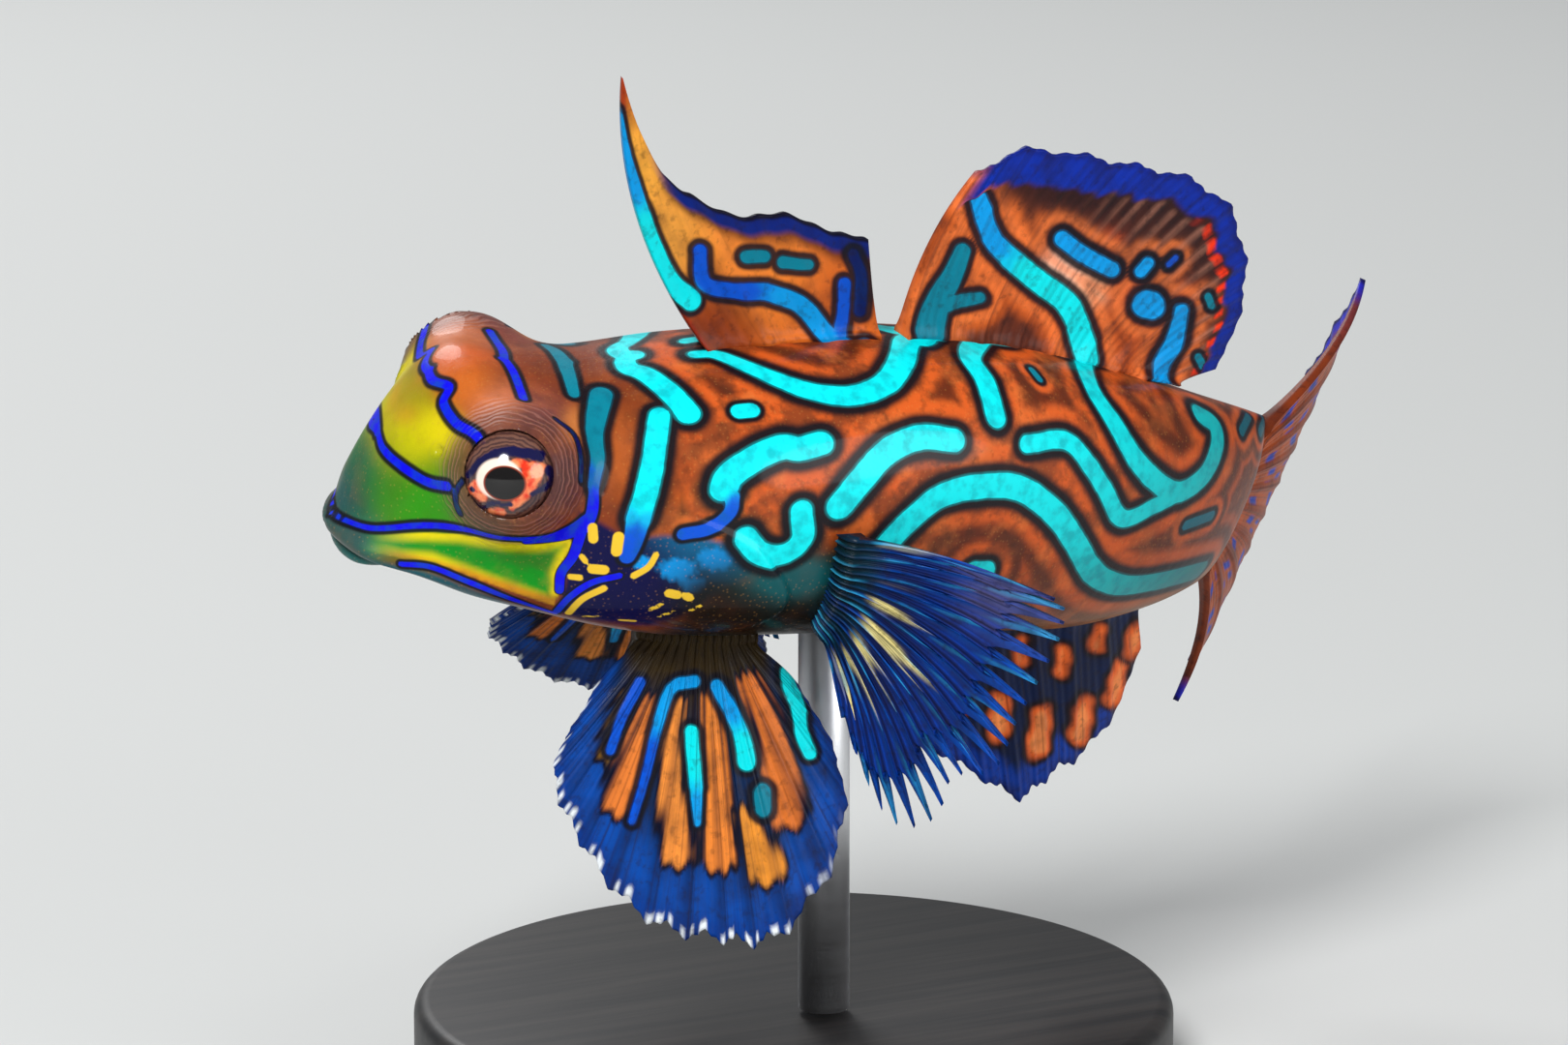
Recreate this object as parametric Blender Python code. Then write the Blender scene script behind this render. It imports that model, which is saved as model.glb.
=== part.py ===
"""Mandarinfish, a still life-size model in one pose, held up by a plain display stand.

Sizes are in millimetres and are turned into metres where a mesh is made. The snout points
to -X and +Z is up. The body is a row of cross sections along a bent line: s is the distance
from the snout along that line, side is to the fish's right and z is towards its back.
"""
import bpy
import numpy as np
from math import cos, pi, radians, sin
from mathutils import Vector
from mathutils.bvhtree import BVHTree

MM = 0.001
GAP = 0.3

# Body: distance from the snout, back, belly, half width, level of the widest part
BODY_LENGTH = 52.4
SECTIONS = [
    (0.0, -0.2, -2.1, 1.6, -1.2),
    (1.0, 1.8, -2.1, 2.8, -1.4),
    (3.0, 5.0, -2.2, 4.5, -1.5),
    (5.5, 7.3, -3.3, 5.9, -1.6),
    (8.5, 6.9, -4.6, 6.4, -1.6),
    (12.0, 6.5, -5.8, 7.2, -1.5),
    (16.0, 6.8, -6.8, 7.4, -1.3),
    (21.0, 7.0, -7.3, 7.2, -1.0),
    (27.0, 7.1, -7.5, 6.7, -0.6),
    (34.0, 6.7, -7.8, 5.8, -0.5),
    (40.0, 5.8, -7.7, 4.7, -0.4),
    (46.0, 4.8, -6.6, 3.3, -0.4),
    (BODY_LENGTH, 4.0, -5.0, 1.4, -0.3),
]
BACK_SQUARENESS = 2.3
BELLY_SQUARENESS = 2.5
NOSE_ROUNDING = 1.0

# Pose: distance from the snout, turn to the right, droop of the line, lean of the back to the left
POSE = [
    (0.0, -12.0, -1.0, 15.0),
    (12.0, -12.0, -1.0, 15.0),
    (19.0, -6.0, 2.0, 13.0),
    (26.0, 2.0, 5.0, 12.0),
    (40.0, 9.0, 10.0, 13.0),
    (BODY_LENGTH, 32.0, 12.0, 19.0),
    (68.0, 75.0, 12.0, 26.0),
    (78.0, 88.0, 12.0, 27.0),
]
SNOUT_AT = (-25.3, -1.3, 31.8)

# Head, torso and tail are parted by thin cuts square to the line
HEAD_END = 16.3
TORSO_END = 40.0

# Eyes: a dome of skin, the socket cut into it, and the eyeball
EYE_S, EYE_SIDE, EYE_Z = 7.5, 5.1, 3.6
DOME_RADIUS = 3.15
DOME_BLEND = 2.0
EYE_OUT = 0.8
EYE_RADIUS = 2.4
GAZE = (-0.28, 0.86, 0.42)

# Mouth: a slit low round the snout, its height, fall towards the corner and length, with two lips
MOUTH_Z, MOUTH_FALL, MOUTH_LENGTH = -1.5, 0.15, 1.8
MOUTH_DEPTH, MOUTH_WIDTH = 0.30, 0.22
LIP_SWELL, LIP_OFFSET, LIP_WIDTH = 0.42, 0.62, 0.45

# Gill cover: the rear edge of a flap low on the side, its place, half height, and how far it stands up
GILL_EDGE_S, GILL_TURN, GILL_HALF_TURN, GILL_LIFT = 20.2, 106.0, 26.0, 0.45
NOSTRIL_S, NOSTRIL_TURN, NOSTRIL_RADIUS = 4.1, 46.0, 0.32

# Fins: rows of (place along the base 0 to 1, ray angle, bend of the ray, ray length)
MEMBRANE_HALF = 0.27
RAY_RIDGE = 0.16
FIRST_DORSAL_BASE = (17.2, 25.8)
FIRST_DORSAL_ROWS = [
    (0.00, -35.0, 36.0, 14.6),
    (0.10, -34.0, 26.0, 12.0),
    (0.22, -33.0, 16.0, 9.6),
    (0.36, -31.0, 8.0, 8.0),
    (0.68, -24.0, 6.0, 6.5),
    (1.00, -18.0, 6.0, 4.8),
]
SECOND_DORSAL_BASE = (27.3, 43.9)
SECOND_DORSAL_ROWS = [
    (0.00, 0.0, 30.0, 8.4),
    (0.12, 2.0, 24.0, 9.8),
    (0.25, 10.0, 22.0, 10.2),
    (0.38, 15.0, 20.0, 10.4),
    (0.50, 19.0, 20.0, 10.7),
    (0.62, 26.0, 18.0, 10.4),
    (0.75, 37.0, 16.0, 8.6),
    (0.88, 48.0, 12.0, 6.0),
    (1.00, 66.0, 10.0, 2.6),
]
ANAL_BASE = (29.5, 47.0)
ANAL_ROWS = [
    (0.00, 22.0, 4.0, 6.0),
    (0.25, 27.0, 6.0, 9.6),
    (0.45, 29.0, 6.0, 11.4),
    (0.60, 29.0, 6.0, 10.0),
    (0.78, 30.0, 8.0, 9.0),
    (0.90, 36.0, 8.0, 7.0),
    (1.00, 40.0, 8.0, 3.4),
]
CAUDAL_ROWS = [
    (0.00, 37.0, 4.0, 13.8),
    (0.25, 17.0, 2.0, 14.8),
    (0.50, 0.0, 0.0, 15.4),
    (0.75, -15.0, -2.0, 14.8),
    (1.00, -34.0, -4.0, 13.2),
]
PELVIC_BASE_S = (14.0, 20.0)
PELVIC_BASE_TURN = 152.0
PELVIC_SPREAD_LEFT = 25.0
PELVIC_SPREAD_RIGHT = 44.0
PELVIC_SWING_RIGHT = 9.0
PELVIC_CUP = 1.0
PELVIC_ROWS = [
    (0.00, -36.0, -2.0, 2.8),
    (0.14, -38.0, -6.0, 7.4),
    (0.29, -24.0, -4.0, 10.6),
    (0.43, -9.0, -2.0, 13.5),
    (0.57, 2.0, 0.0, 14.5),
    (0.71, 11.0, 2.0, 14.6),
    (0.86, 33.0, 4.0, 9.8),
    (1.00, 46.0, 4.0, 3.4),
]
PECTORAL_BASE_S = 22.5
PECTORAL_BASE_TURN = (86.0, 126.0)
PECTORAL_SPREAD = 34.0
PECTORAL_RAISE_RIGHT = 14.0
PECTORAL_CUP = 0.5
PECTORAL_ROWS = [
    (0.00, -6.0, 20.0, 9.0),
    (0.08, -8.0, 20.0, 10.2),
    (0.18, -4.0, 20.0, 10.4),
    (0.28, 8.0, 20.0, 10.2),
    (0.38, 21.0, 18.0, 10.4),
    (0.50, 34.0, 16.0, 11.2),
    (0.60, 43.0, 14.0, 10.2),
    (0.70, 52.0, 12.0, 11.6),
    (0.82, 61.0, 12.0, 11.0),
    (0.92, 66.0, 8.0, 8.0),
    (1.00, 68.0, 6.0, 4.4),
]

# Stand
BASE_RADIUS = 19.0
BASE_HEIGHT = 4.0
BASE_BEVEL = 0.8
ROD_RADIUS = 1.3
ROD_AT_S = 26.0


def curve(rows, column, x):
    """Smooth cubic through one column of a table, its slopes taken from the neighbouring rows."""
    table = np.array(rows, float)
    knots, values = table[:, 0], table[:, column]
    slopes = np.gradient(values, knots)
    x = np.clip(np.asarray(x, float), knots[0], knots[-1])
    i = np.clip(np.searchsorted(knots, x) - 1, 0, len(knots) - 2)
    h = knots[i + 1] - knots[i]
    t = (x - knots[i]) / h
    start = (2 * t**3 - 3 * t**2 + 1) * values[i] + (t**3 - 2 * t**2 + t) * h * slopes[i]
    end = (3 * t**2 - 2 * t**3) * values[i + 1] + (t**3 - t**2) * h * slopes[i + 1]
    return start + end


def line_frames():
    """Points of the bent line with its tailward, right and up directions, every 0.1 mm."""
    s = np.linspace(0, 78, 781)
    turn, droop, lean = (np.radians(curve(POSE, k, s)) for k in (1, 2, 3))
    tail = np.stack([np.cos(turn) * np.cos(droop), np.sin(turn) * np.cos(droop), -np.sin(droop)], -1)
    level = np.stack([-np.sin(turn), np.cos(turn), np.zeros_like(s)], -1)
    plumb = np.cross(tail, level)
    up = plumb * np.cos(lean)[:, None] - level * np.sin(lean)[:, None]
    right = level * np.cos(lean)[:, None] + plumb * np.sin(lean)[:, None]
    steps = (tail[1:] + tail[:-1]) / 2 * np.diff(s)[:, None]
    point = np.concatenate([np.zeros((1, 3)), np.cumsum(steps, 0)]) + np.array(SNOUT_AT)
    return s, point, tail, right, up


LINE = line_frames()


def along(s, which):
    """One of the line's vectors (1 point, 2 tail, 3 right, 4 up) at the distances s."""
    return np.stack([np.interp(s, LINE[0], LINE[which][:, k]) for k in range(3)], -1)


def place(s, side, z):
    """World points of places given along, beside and above the bent line."""
    s, side, z = np.broadcast_arrays(np.asarray(s, float), side, z)
    return along(s, 1) + along(s, 3) * side[..., None] + along(s, 4) * z[..., None]


def section(s, turn):
    """Side and z of the plain cross section; turn runs from 0 on the back to 180 on the belly."""
    top, bottom, half, level = (curve(SECTIONS, k, s) for k in (1, 2, 3, 4))
    c, n = np.cos(turn), np.sin(turn)
    power = np.where(c > 0, 2 / BACK_SQUARENESS, 2 / BELLY_SQUARENESS)
    rise = np.where(c > 0, top - level, level - bottom)
    nose = np.clip(s / NOSE_ROUNDING, 0, 1)
    round_off = np.sqrt(1 - (1 - nose) ** 2)
    side = half * np.sign(n) * np.abs(n) ** power * round_off
    z = rise * np.sign(c) * np.abs(c) ** power * round_off
    return side, z, level


def skin(s, turn):
    """Side and z of the skin: the plain section swollen smoothly into the two eye domes."""
    s, turn = np.broadcast_arrays(np.asarray(s, float), np.asarray(turn, float))
    side, z, level = section(s, turn)
    reach = np.maximum(np.hypot(side, z), 1e-6)
    way_side, way_z = side / reach, z / reach
    low, high = np.zeros_like(reach), reach + 8.0
    for _ in range(34):
        t = (low + high) / 2
        p_side, p_z = way_side * t, level + way_z * t
        plain = t - reach
        dome = np.sqrt((s - EYE_S) ** 2 + (np.abs(p_side) - EYE_SIDE) ** 2 + (p_z - EYE_Z) ** 2) - DOME_RADIUS
        mix = np.maximum(DOME_BLEND - np.abs(plain - dome), 0) / DOME_BLEND
        inside = np.minimum(plain, dome) - mix**2 * DOME_BLEND / 4 < 0
        low, high = np.where(inside, t, low), np.where(inside, high, t)
    return way_side * low, level + way_z * low


def bump(x):
    """A smooth hill of height 1 at 0 and about nothing past 2."""
    return np.exp(-np.asarray(x, float) ** 2)


def relief(s, turn, z):
    """How far the skin stands out from its smooth shape: the lips, the mouth slit and the gill cover."""
    above = z - MOUTH_Z + MOUTH_FALL * s
    front = 1 / (1 + np.exp((s - MOUTH_LENGTH) * 5))
    lips = LIP_SWELL * (bump((above - LIP_OFFSET) / LIP_WIDTH) + bump((above + LIP_OFFSET) / LIP_WIDTH))
    mouth = front * (lips - MOUTH_DEPTH * bump(above / MOUTH_WIDTH))
    off = (np.degrees(np.abs((turn + pi) % (2 * pi) - pi)) - GILL_TURN) / GILL_HALF_TURN
    ahead = GILL_EDGE_S - 3.0 * off**2 - s
    flap = GILL_LIFT * bump(off) * np.clip(ahead / 0.5, 0, 1) * np.exp(-np.maximum(ahead, 0) / 3.0)
    return mouth + flap


def skin_point(s, turn):
    """World point of the smooth skin at the distance s and the turn in degrees, + to the right."""
    side, z = skin(s, np.radians(turn))
    return place(s, side, z)


def skin_normal(s, turn):
    """Outward normal of the skin, from two short steps along it."""
    along_body = skin_point(s + 0.05, turn) - skin_point(s - 0.05, turn)
    around = skin_point(s, np.asarray(turn) + 0.5) - skin_point(s, np.asarray(turn) - 0.5)
    normal = np.cross(along_body, around)
    return normal / np.linalg.norm(normal, axis=-1, keepdims=True)


def material(name, colour, roughness):
    made = bpy.data.materials.new(name)
    made.use_nodes = True
    shader = made.node_tree.nodes["Principled BSDF"]
    shader.inputs["Base Color"].default_value = (*colour, 1.0)
    shader.inputs["Roughness"].default_value = roughness
    return made


def solid(name, points, faces, colour, roughness=0.35, crease=None):
    """One closed mesh in metres; its faces are turned outwards by the sign of its volume.

    It is shaded smooth, apart from edges sharper than the crease in degrees, if one is given.
    """
    points = np.asarray(points, float) * MM
    volume = 0.0
    for face in faces:
        for a, b in zip(face[1:-1], face[2:]):
            volume += np.dot(points[face[0]], np.cross(points[a], points[b]))
    if volume < 0:
        faces = [tuple(reversed(face)) for face in faces]
    mesh = bpy.data.meshes.new(name)
    mesh.from_pydata(points.tolist(), [], faces)
    mesh.update()
    mesh.shade_smooth()
    if crease:
        mesh.set_sharp_from_angle(angle=radians(crease))
    made = bpy.data.objects.new(name, mesh)
    made.data.materials.append(material(name + "_material", colour, roughness))
    bpy.context.collection.objects.link(made)
    return made


def tube_faces(rings, around):
    """Quads between closed rings of points and the fans that close the two ends.

    The point before the first ring closes the front, the point after the last ring the back.
    """
    faces = []
    for j in range(around):
        k = (j + 1) % around
        faces.append((0, 1 + k, 1 + j))
        for i in range(rings - 1):
            a = 1 + i * around
            faces.append((a + j, a + k, a + around + k, a + around + j))
        a = 1 + (rings - 1) * around
        faces.append((a + j, a + k, 1 + rings * around))
    return faces


def body_piece(name, stops, around, colour):
    """A length of the body through the given stops, closed by a flat face at each cut."""
    stops = np.asarray(stops, float)
    turns = np.linspace(0, 2 * pi, around, endpoint=False)
    side, z = skin(stops[:, None], turns[None, :])
    points = place(stops[:, None], side, z)
    stand_out = relief(stops[:, None], turns[None, :], z)
    points = points + skin_normal(stops[:, None], np.degrees(turns)[None, :]) * stand_out[..., None]
    level = curve(SECTIONS, 4, stops)
    front = place(-0.08, 0.0, level[0]) if stops[0] < 1 else points[0].mean(0)
    back = points[-1].mean(0)
    points = np.concatenate([front[None], points.reshape(-1, 3), back[None]])
    return solid(name, points, tube_faces(len(stops), around), colour)


def ball_points(centre, pole, radius, rings, around):
    """A ball's points: the pole, the rings, and the opposite pole."""
    pole = pole / np.linalg.norm(pole)
    east = np.cross(pole, (0.0, 0.0, 1.0))
    east /= np.linalg.norm(east)
    north = np.cross(pole, east)
    fall = np.linspace(0, pi, rings + 2)[1:-1][:, None]
    turn = np.linspace(0, 2 * pi, around, endpoint=False)[None, :]
    ring = np.cos(fall)[..., None] * pole + (np.sin(fall) * np.cos(turn))[..., None] * east
    ring = ring + (np.sin(fall) * np.sin(turn))[..., None] * north
    points = np.concatenate([pole[None], ring.reshape(-1, 3), -pole[None]])
    return centre + points * radius


def eye_place(hand):
    """Centre of an eyeball and the way it looks; hand is -1 for the left eye and +1 for the right."""
    tail, right, up = along(EYE_S, 2), along(EYE_S, 3), along(EYE_S, 4)
    gaze = tail * GAZE[0] + right * hand * GAZE[1] + up * GAZE[2]
    gaze /= np.linalg.norm(gaze)
    return place(EYE_S, hand * EYE_SIDE, EYE_Z) + gaze * EYE_OUT, gaze


def cut(target, name, points, faces):
    """Take a closed shape away from a node; the cutter stays hidden."""
    cutter = solid(name, points, faces, (0.5, 0.5, 0.5))
    cutter.hide_render = True
    cutter.display_type = "WIRE"
    made = target.modifiers.new(name, "BOOLEAN")
    made.operation = "DIFFERENCE"
    made.solver = "EXACT"
    made.object = cutter


def fin(name, middle, half, colour):
    """A closed blade: the middle surface thickened by half on both sides.

    middle is a grid of points (across the rays, root to tip) and half a grid of the same
    size. Both faces are split into triangles along the same diagonals.
    """
    columns, rows = half.shape
    across, out = np.gradient(middle, axis=0), np.gradient(middle, axis=1)
    normal = np.cross(across, out)
    normal /= np.linalg.norm(normal, axis=-1, keepdims=True)
    points = np.concatenate([(middle + normal * half[..., None]).reshape(-1, 3),
                             (middle - normal * half[..., None]).reshape(-1, 3)])
    under = columns * rows
    faces = []
    for i in range(columns - 1):
        for j in range(rows - 1):
            a = i * rows + j
            b, c, d = a + rows, a + rows + 1, a + 1
            faces += [(a, b, c), (a, c, d)]
            faces += [(under + a, under + c, under + b), (under + a, under + d, under + c)]
    rim = [i * rows for i in range(columns)]
    rim += [(columns - 1) * rows + j for j in range(1, rows)]
    rim += [i * rows + rows - 1 for i in range(columns - 2, -1, -1)]
    rim += [j for j in range(rows - 2, 0, -1)]
    for a, b in zip(rim, rim[1:] + rim[:1]):
        faces += [(b, a, under + a), (b, under + a, under + b)]
    return solid(name, points, faces, colour)


def sweep(angle, bend, length, out):
    """Forward and outward travel along a ray that leaves at an angle and bends evenly."""
    first = np.radians(angle)
    total = np.radians(np.where(np.abs(bend) < 0.5, 0.5, bend))
    here = first + total * out
    return length * (np.cos(first) - np.cos(here)) / total, length * (np.sin(here) - np.sin(first)) / total


def thickness(u, v, rays):
    """Half thickness of a fin: a thin membrane with a ridge along each ray, thinner at the edge."""
    ridge = (0.5 + 0.5 * np.cos(2 * pi * u * (rays - 1))) ** 3
    return MEMBRANE_HALF - 0.05 * v**6 + RAY_RIDGE * ridge * (1 - 0.7 * v)


def scallop(u, rays, depth):
    """Share of the ray length left at the margin: the membrane falls back between the rays."""
    return 1 - depth * np.sin(pi * u * (rays - 1)) ** 2


def grid(rays, between, steps):
    """Places across a fin, with a column on each ray and some between, and from root to tip."""
    return np.linspace(0, 1, (rays - 1) * between + 1)[:, None], np.linspace(0, 1, steps)[None, :]


def median_fin(name, base, rows, rays, between, steps, notch, colour, below=False):
    """A fin standing on the back or hanging under the belly, in the plane of the bent line."""
    u, v = grid(rays, between, steps)
    s = base[0] + (base[1] - base[0]) * u
    length = curve(rows, 3, u) * scallop(u, rays, notch)
    back, out = sweep(curve(rows, 1, u), curve(rows, 2, u), length, v)
    edge = skin(s, pi if below else 0.0)[1]
    z = edge - GAP - out if below else edge + GAP + out
    return fin(name, place(s + back, 0.0, z), thickness(u, v, rays), colour)


def caudal_fin(name, rows, rays, between, steps, notch, colour):
    """The tail fin: rays fan out from the end of the body and follow the bent line."""
    u, v = grid(rays, between, steps)
    top, bottom = curve(SECTIONS, 1, BODY_LENGTH), curve(SECTIONS, 2, BODY_LENGTH)
    root = top - 0.5 + (bottom - top + 1.0) * u
    length = curve(rows, 3, u) * scallop(u, rays, notch)
    rise, back = sweep(curve(rows, 1, u), curve(rows, 2, u), length, v)
    return fin(name, place(BODY_LENGTH + GAP + back, 0.0, root + rise), thickness(u, v, rays), colour)


def paired_fin(name, hand, base_s, base_turn, outward, swing, cup, rows, rays, between, steps, notch, colour):
    """A fin on one side: rays fan out in a plane from a base line on the skin.

    outward is the blade's way out in the fish's own directions: tail, right and up. swing turns
    the whole fan in its plane and cup bends its tips in towards the fish.
    """
    u, v = grid(rays, between, steps)
    s = base_s[0] + (base_s[1] - base_s[0]) * u[:, 0]
    turn = hand * (base_turn[0] + (base_turn[1] - base_turn[0]) * u[:, 0])
    root, normal = skin_point(s, turn), skin_normal(s, turn)
    middle_s = (base_s[0] + base_s[1]) / 2
    tail, right, up = along(middle_s, 2), along(middle_s, 3), along(middle_s, 4)
    way = tail * outward[0] + right * hand * outward[1] + up * outward[2]
    way /= np.linalg.norm(way)
    base = root[-1] - root[0]
    base -= way * np.dot(base, way)
    base /= np.linalg.norm(base)
    blade = np.cross(base, way)
    lift = GAP + 0.1 + (MEMBRANE_HALF + RAY_RIDGE) * np.abs(normal @ blade)
    root = root + normal * lift[:, None]
    length = curve(rows, 3, u) * scallop(u, rays, notch)
    forward, out = sweep(curve(rows, 1, u) + swing, curve(rows, 2, u), length, v)
    inward = -hand * cup * v**2
    middle = root[:, None, :] + forward[..., None] * base + out[..., None] * way + inward[..., None] * blade
    return fin(name, middle, thickness(u, v, rays), colour)


def lathe(name, profile, centre, around, colour, roughness):
    """A round solid: (radius, height) pairs turned about an upright line, closed top and bottom."""
    turn = np.linspace(0, 2 * pi, around, endpoint=False)
    radius = np.array([p[0] for p in profile])[:, None]
    height = np.array([p[1] for p in profile])[:, None]
    ring = np.stack([centre[0] + radius * np.cos(turn), centre[1] + radius * np.sin(turn),
                     height + 0 * turn], -1)
    low = np.array([[centre[0], centre[1], profile[0][1]]])
    high = np.array([[centre[0], centre[1], profile[-1][1]]])
    points = np.concatenate([low, ring.reshape(-1, 3), high])
    return solid(name, points, tube_faces(len(profile), around), colour, roughness, crease=35.0)


for old in list(bpy.data.objects):
    bpy.data.objects.remove(old, do_unlink=True)

# Head, with the two eye sockets
head_stops = np.concatenate([[0.04, 0.16, 0.36, 0.64], np.linspace(1.0, 3.4, 7), np.linspace(4.0, 12.4, 15),
                             [13.6, 15.0, HEAD_END]])
head = body_piece("head", head_stops, 44, (0.20, 0.42, 0.16))

# Torso and tail
torso_stops = np.concatenate([np.linspace(HEAD_END + GAP, 21.0, 9), np.linspace(22.4, TORSO_END, 10)])
torso = body_piece("torso", torso_stops, 36, (0.62, 0.20, 0.07))
tail = body_piece("tail", np.linspace(TORSO_END + GAP, BODY_LENGTH, 8), 32, (0.50, 0.17, 0.10))

# Eyes
for hand, label in ((-1, "left"), (1, "right")):
    centre, gaze = eye_place(hand)
    socket = ball_points(centre, gaze, EYE_RADIUS + GAP, 11, 20)
    cut(head, "socket_" + label, socket, tube_faces(11, 20))
    solid("eye_" + label, ball_points(centre, gaze, EYE_RADIUS, 11, 20), tube_faces(11, 20),
          (0.80, 0.25, 0.12), 0.08)
    nostril = skin_point(NOSTRIL_S, hand * NOSTRIL_TURN)
    pit = ball_points(nostril, skin_normal(NOSTRIL_S, hand * NOSTRIL_TURN), NOSTRIL_RADIUS, 4, 8)
    cut(head, "nostril_" + label, pit, tube_faces(4, 8))

# Fins in the middle of the body
median_fin("first_dorsal_fin", FIRST_DORSAL_BASE, FIRST_DORSAL_ROWS, 4, 6, 9, 0.07, (0.75, 0.33, 0.08))
median_fin("second_dorsal_fin", SECOND_DORSAL_BASE, SECOND_DORSAL_ROWS, 9, 3, 8, 0.05, (0.70, 0.25, 0.10))
median_fin("anal_fin", ANAL_BASE, ANAL_ROWS, 8, 3, 6, 0.07, (0.04, 0.10, 0.45), below=True)
caudal_fin("caudal_fin", CAUDAL_ROWS, 10, 2, 7, 0.05, (0.55, 0.20, 0.12))

# Paired fins
for hand, label, spread, swing in ((-1, "left", PELVIC_SPREAD_LEFT, 0.0),
                                   (1, "right", PELVIC_SPREAD_RIGHT, PELVIC_SWING_RIGHT)):
    outward = (0.0, sin(radians(spread)), -cos(radians(spread)))
    base_turn = (PELVIC_BASE_TURN, PELVIC_BASE_TURN)
    paired_fin("pelvic_fin_" + label, hand, PELVIC_BASE_S, base_turn, outward, swing, PELVIC_CUP,
               PELVIC_ROWS, 15, 2, 8, 0.04, (0.05, 0.16, 0.62))
for hand, label, swing in ((-1, "left", 0.0), (1, "right", -PECTORAL_RAISE_RIGHT)):
    outward = (cos(radians(PECTORAL_SPREAD)), sin(radians(PECTORAL_SPREAD)), 0.0)
    base_s = (PECTORAL_BASE_S, PECTORAL_BASE_S)
    paired_fin("pectoral_fin_" + label, hand, base_s, PECTORAL_BASE_TURN, outward, swing, PECTORAL_CUP,
               PECTORAL_ROWS, 22, 2, 6, 0.16, (0.05, 0.25, 0.60))


# Stand: a round base and a rod whose top follows the belly
base_profile = [(BASE_RADIUS, 0.0), (BASE_RADIUS, BASE_HEIGHT - BASE_BEVEL),
                (BASE_RADIUS - BASE_BEVEL, BASE_HEIGHT)]
lathe("stand_base", base_profile, (0.0, 0.0), 48, (0.03, 0.03, 0.03), 0.4)
belly = BVHTree.FromPolygons([tuple(v.co) for v in torso.data.vertices],
                             [tuple(p.vertices) for p in torso.data.polygons])
rod_centre = place(ROD_AT_S, 0.0, -7.0)
rod_turn = np.linspace(0, 2 * pi, 16, endpoint=False)
rod_points = [(rod_centre[0], rod_centre[1], BASE_HEIGHT + GAP)]
rod_points += [(rod_centre[0] + ROD_RADIUS * cos(t), rod_centre[1] + ROD_RADIUS * sin(t), BASE_HEIGHT + GAP)
               for t in rod_turn]
for radius in (ROD_RADIUS, ROD_RADIUS / 2, 0.0):
    for angle in rod_turn if radius > 0 else [0.0]:
        x, y = rod_centre[0] + radius * cos(angle), rod_centre[1] + radius * sin(angle)
        hit = belly.ray_cast(Vector((x * MM, y * MM, 0)), Vector((0, 0, 1)))[0]
        rod_points.append((x, y, hit.z / MM - GAP))
solid("stand_rod", rod_points, tube_faces(3, 16), (0.75, 0.75, 0.75), 0.25, crease=35.0)
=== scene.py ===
"""A mandarinfish as a life-size museum model on a plain stand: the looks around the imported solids.

Lengths inside the sections are in millimetres and become metres where a mesh is made. The fish
is described along a bent line: s is the distance from the snout, side is to its right and z
towards its back. Markings are placed by the pixels of the photograph where they are seen.
"""

from math import cos, pi, radians, sin

import bpy
import numpy as np
from mathutils import Matrix, Vector
from mathutils.bvhtree import BVHTree


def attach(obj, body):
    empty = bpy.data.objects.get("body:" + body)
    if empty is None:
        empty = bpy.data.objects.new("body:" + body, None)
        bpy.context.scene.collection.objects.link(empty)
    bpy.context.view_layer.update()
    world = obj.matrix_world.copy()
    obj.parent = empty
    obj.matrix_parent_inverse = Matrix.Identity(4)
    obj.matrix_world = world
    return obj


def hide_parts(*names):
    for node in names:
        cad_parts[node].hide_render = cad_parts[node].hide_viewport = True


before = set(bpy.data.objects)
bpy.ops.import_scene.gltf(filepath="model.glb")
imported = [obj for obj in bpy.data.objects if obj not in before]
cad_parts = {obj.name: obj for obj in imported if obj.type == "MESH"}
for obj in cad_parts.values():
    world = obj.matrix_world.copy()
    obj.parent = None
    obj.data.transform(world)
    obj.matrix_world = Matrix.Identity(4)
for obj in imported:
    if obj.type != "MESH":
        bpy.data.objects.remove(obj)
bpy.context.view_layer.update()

# The camera stands off the fish's left shoulder, a little above it, with a long lens. Its view is
# the photograph's: the functions turn a point into a pixel of it, and a pixel into a line of sight.
MM = 0.001
PICTURE = (1620, 1080)
CAMERA_AZIMUTH, CAMERA_ELEVATION = radians(-28.0), radians(12.0)
CAMERA_DISTANCE = 300.0
PIXELS_PER_MM = 21.0
AIM_POINT = np.array([0.0, 0.0, 30.0])
AIM_PIXEL = np.array([820.0, 500.0])
SENSOR, NEAREST = 36.0, 0.01
RIGHT = np.array([cos(CAMERA_AZIMUTH), sin(CAMERA_AZIMUTH), 0.0])
BACK = np.array([RIGHT[1] * cos(CAMERA_ELEVATION), -RIGHT[0] * cos(CAMERA_ELEVATION), sin(CAMERA_ELEVATION)])
UP = np.cross(BACK, RIGHT)
EYE_POINT = AIM_POINT + BACK * CAMERA_DISTANCE


def to_pixel(points):
    """Pixels of the photograph at which points (…, 3) in mm are seen: nearer ones spread out more."""
    away = points - AIM_POINT
    scale = PIXELS_PER_MM * CAMERA_DISTANCE / (CAMERA_DISTANCE - away @ BACK)
    return np.stack([AIM_PIXEL[0] + scale * (away @ RIGHT), AIM_PIXEL[1] - scale * (away @ UP)], -1)


def sight(pixel):
    """Direction of the line of sight through a pixel."""
    x, y = (np.asarray(pixel, float) - AIM_PIXEL) / PIXELS_PER_MM
    way = AIM_POINT + RIGHT * x - UP * y - EYE_POINT
    return way / np.linalg.norm(way)


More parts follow.
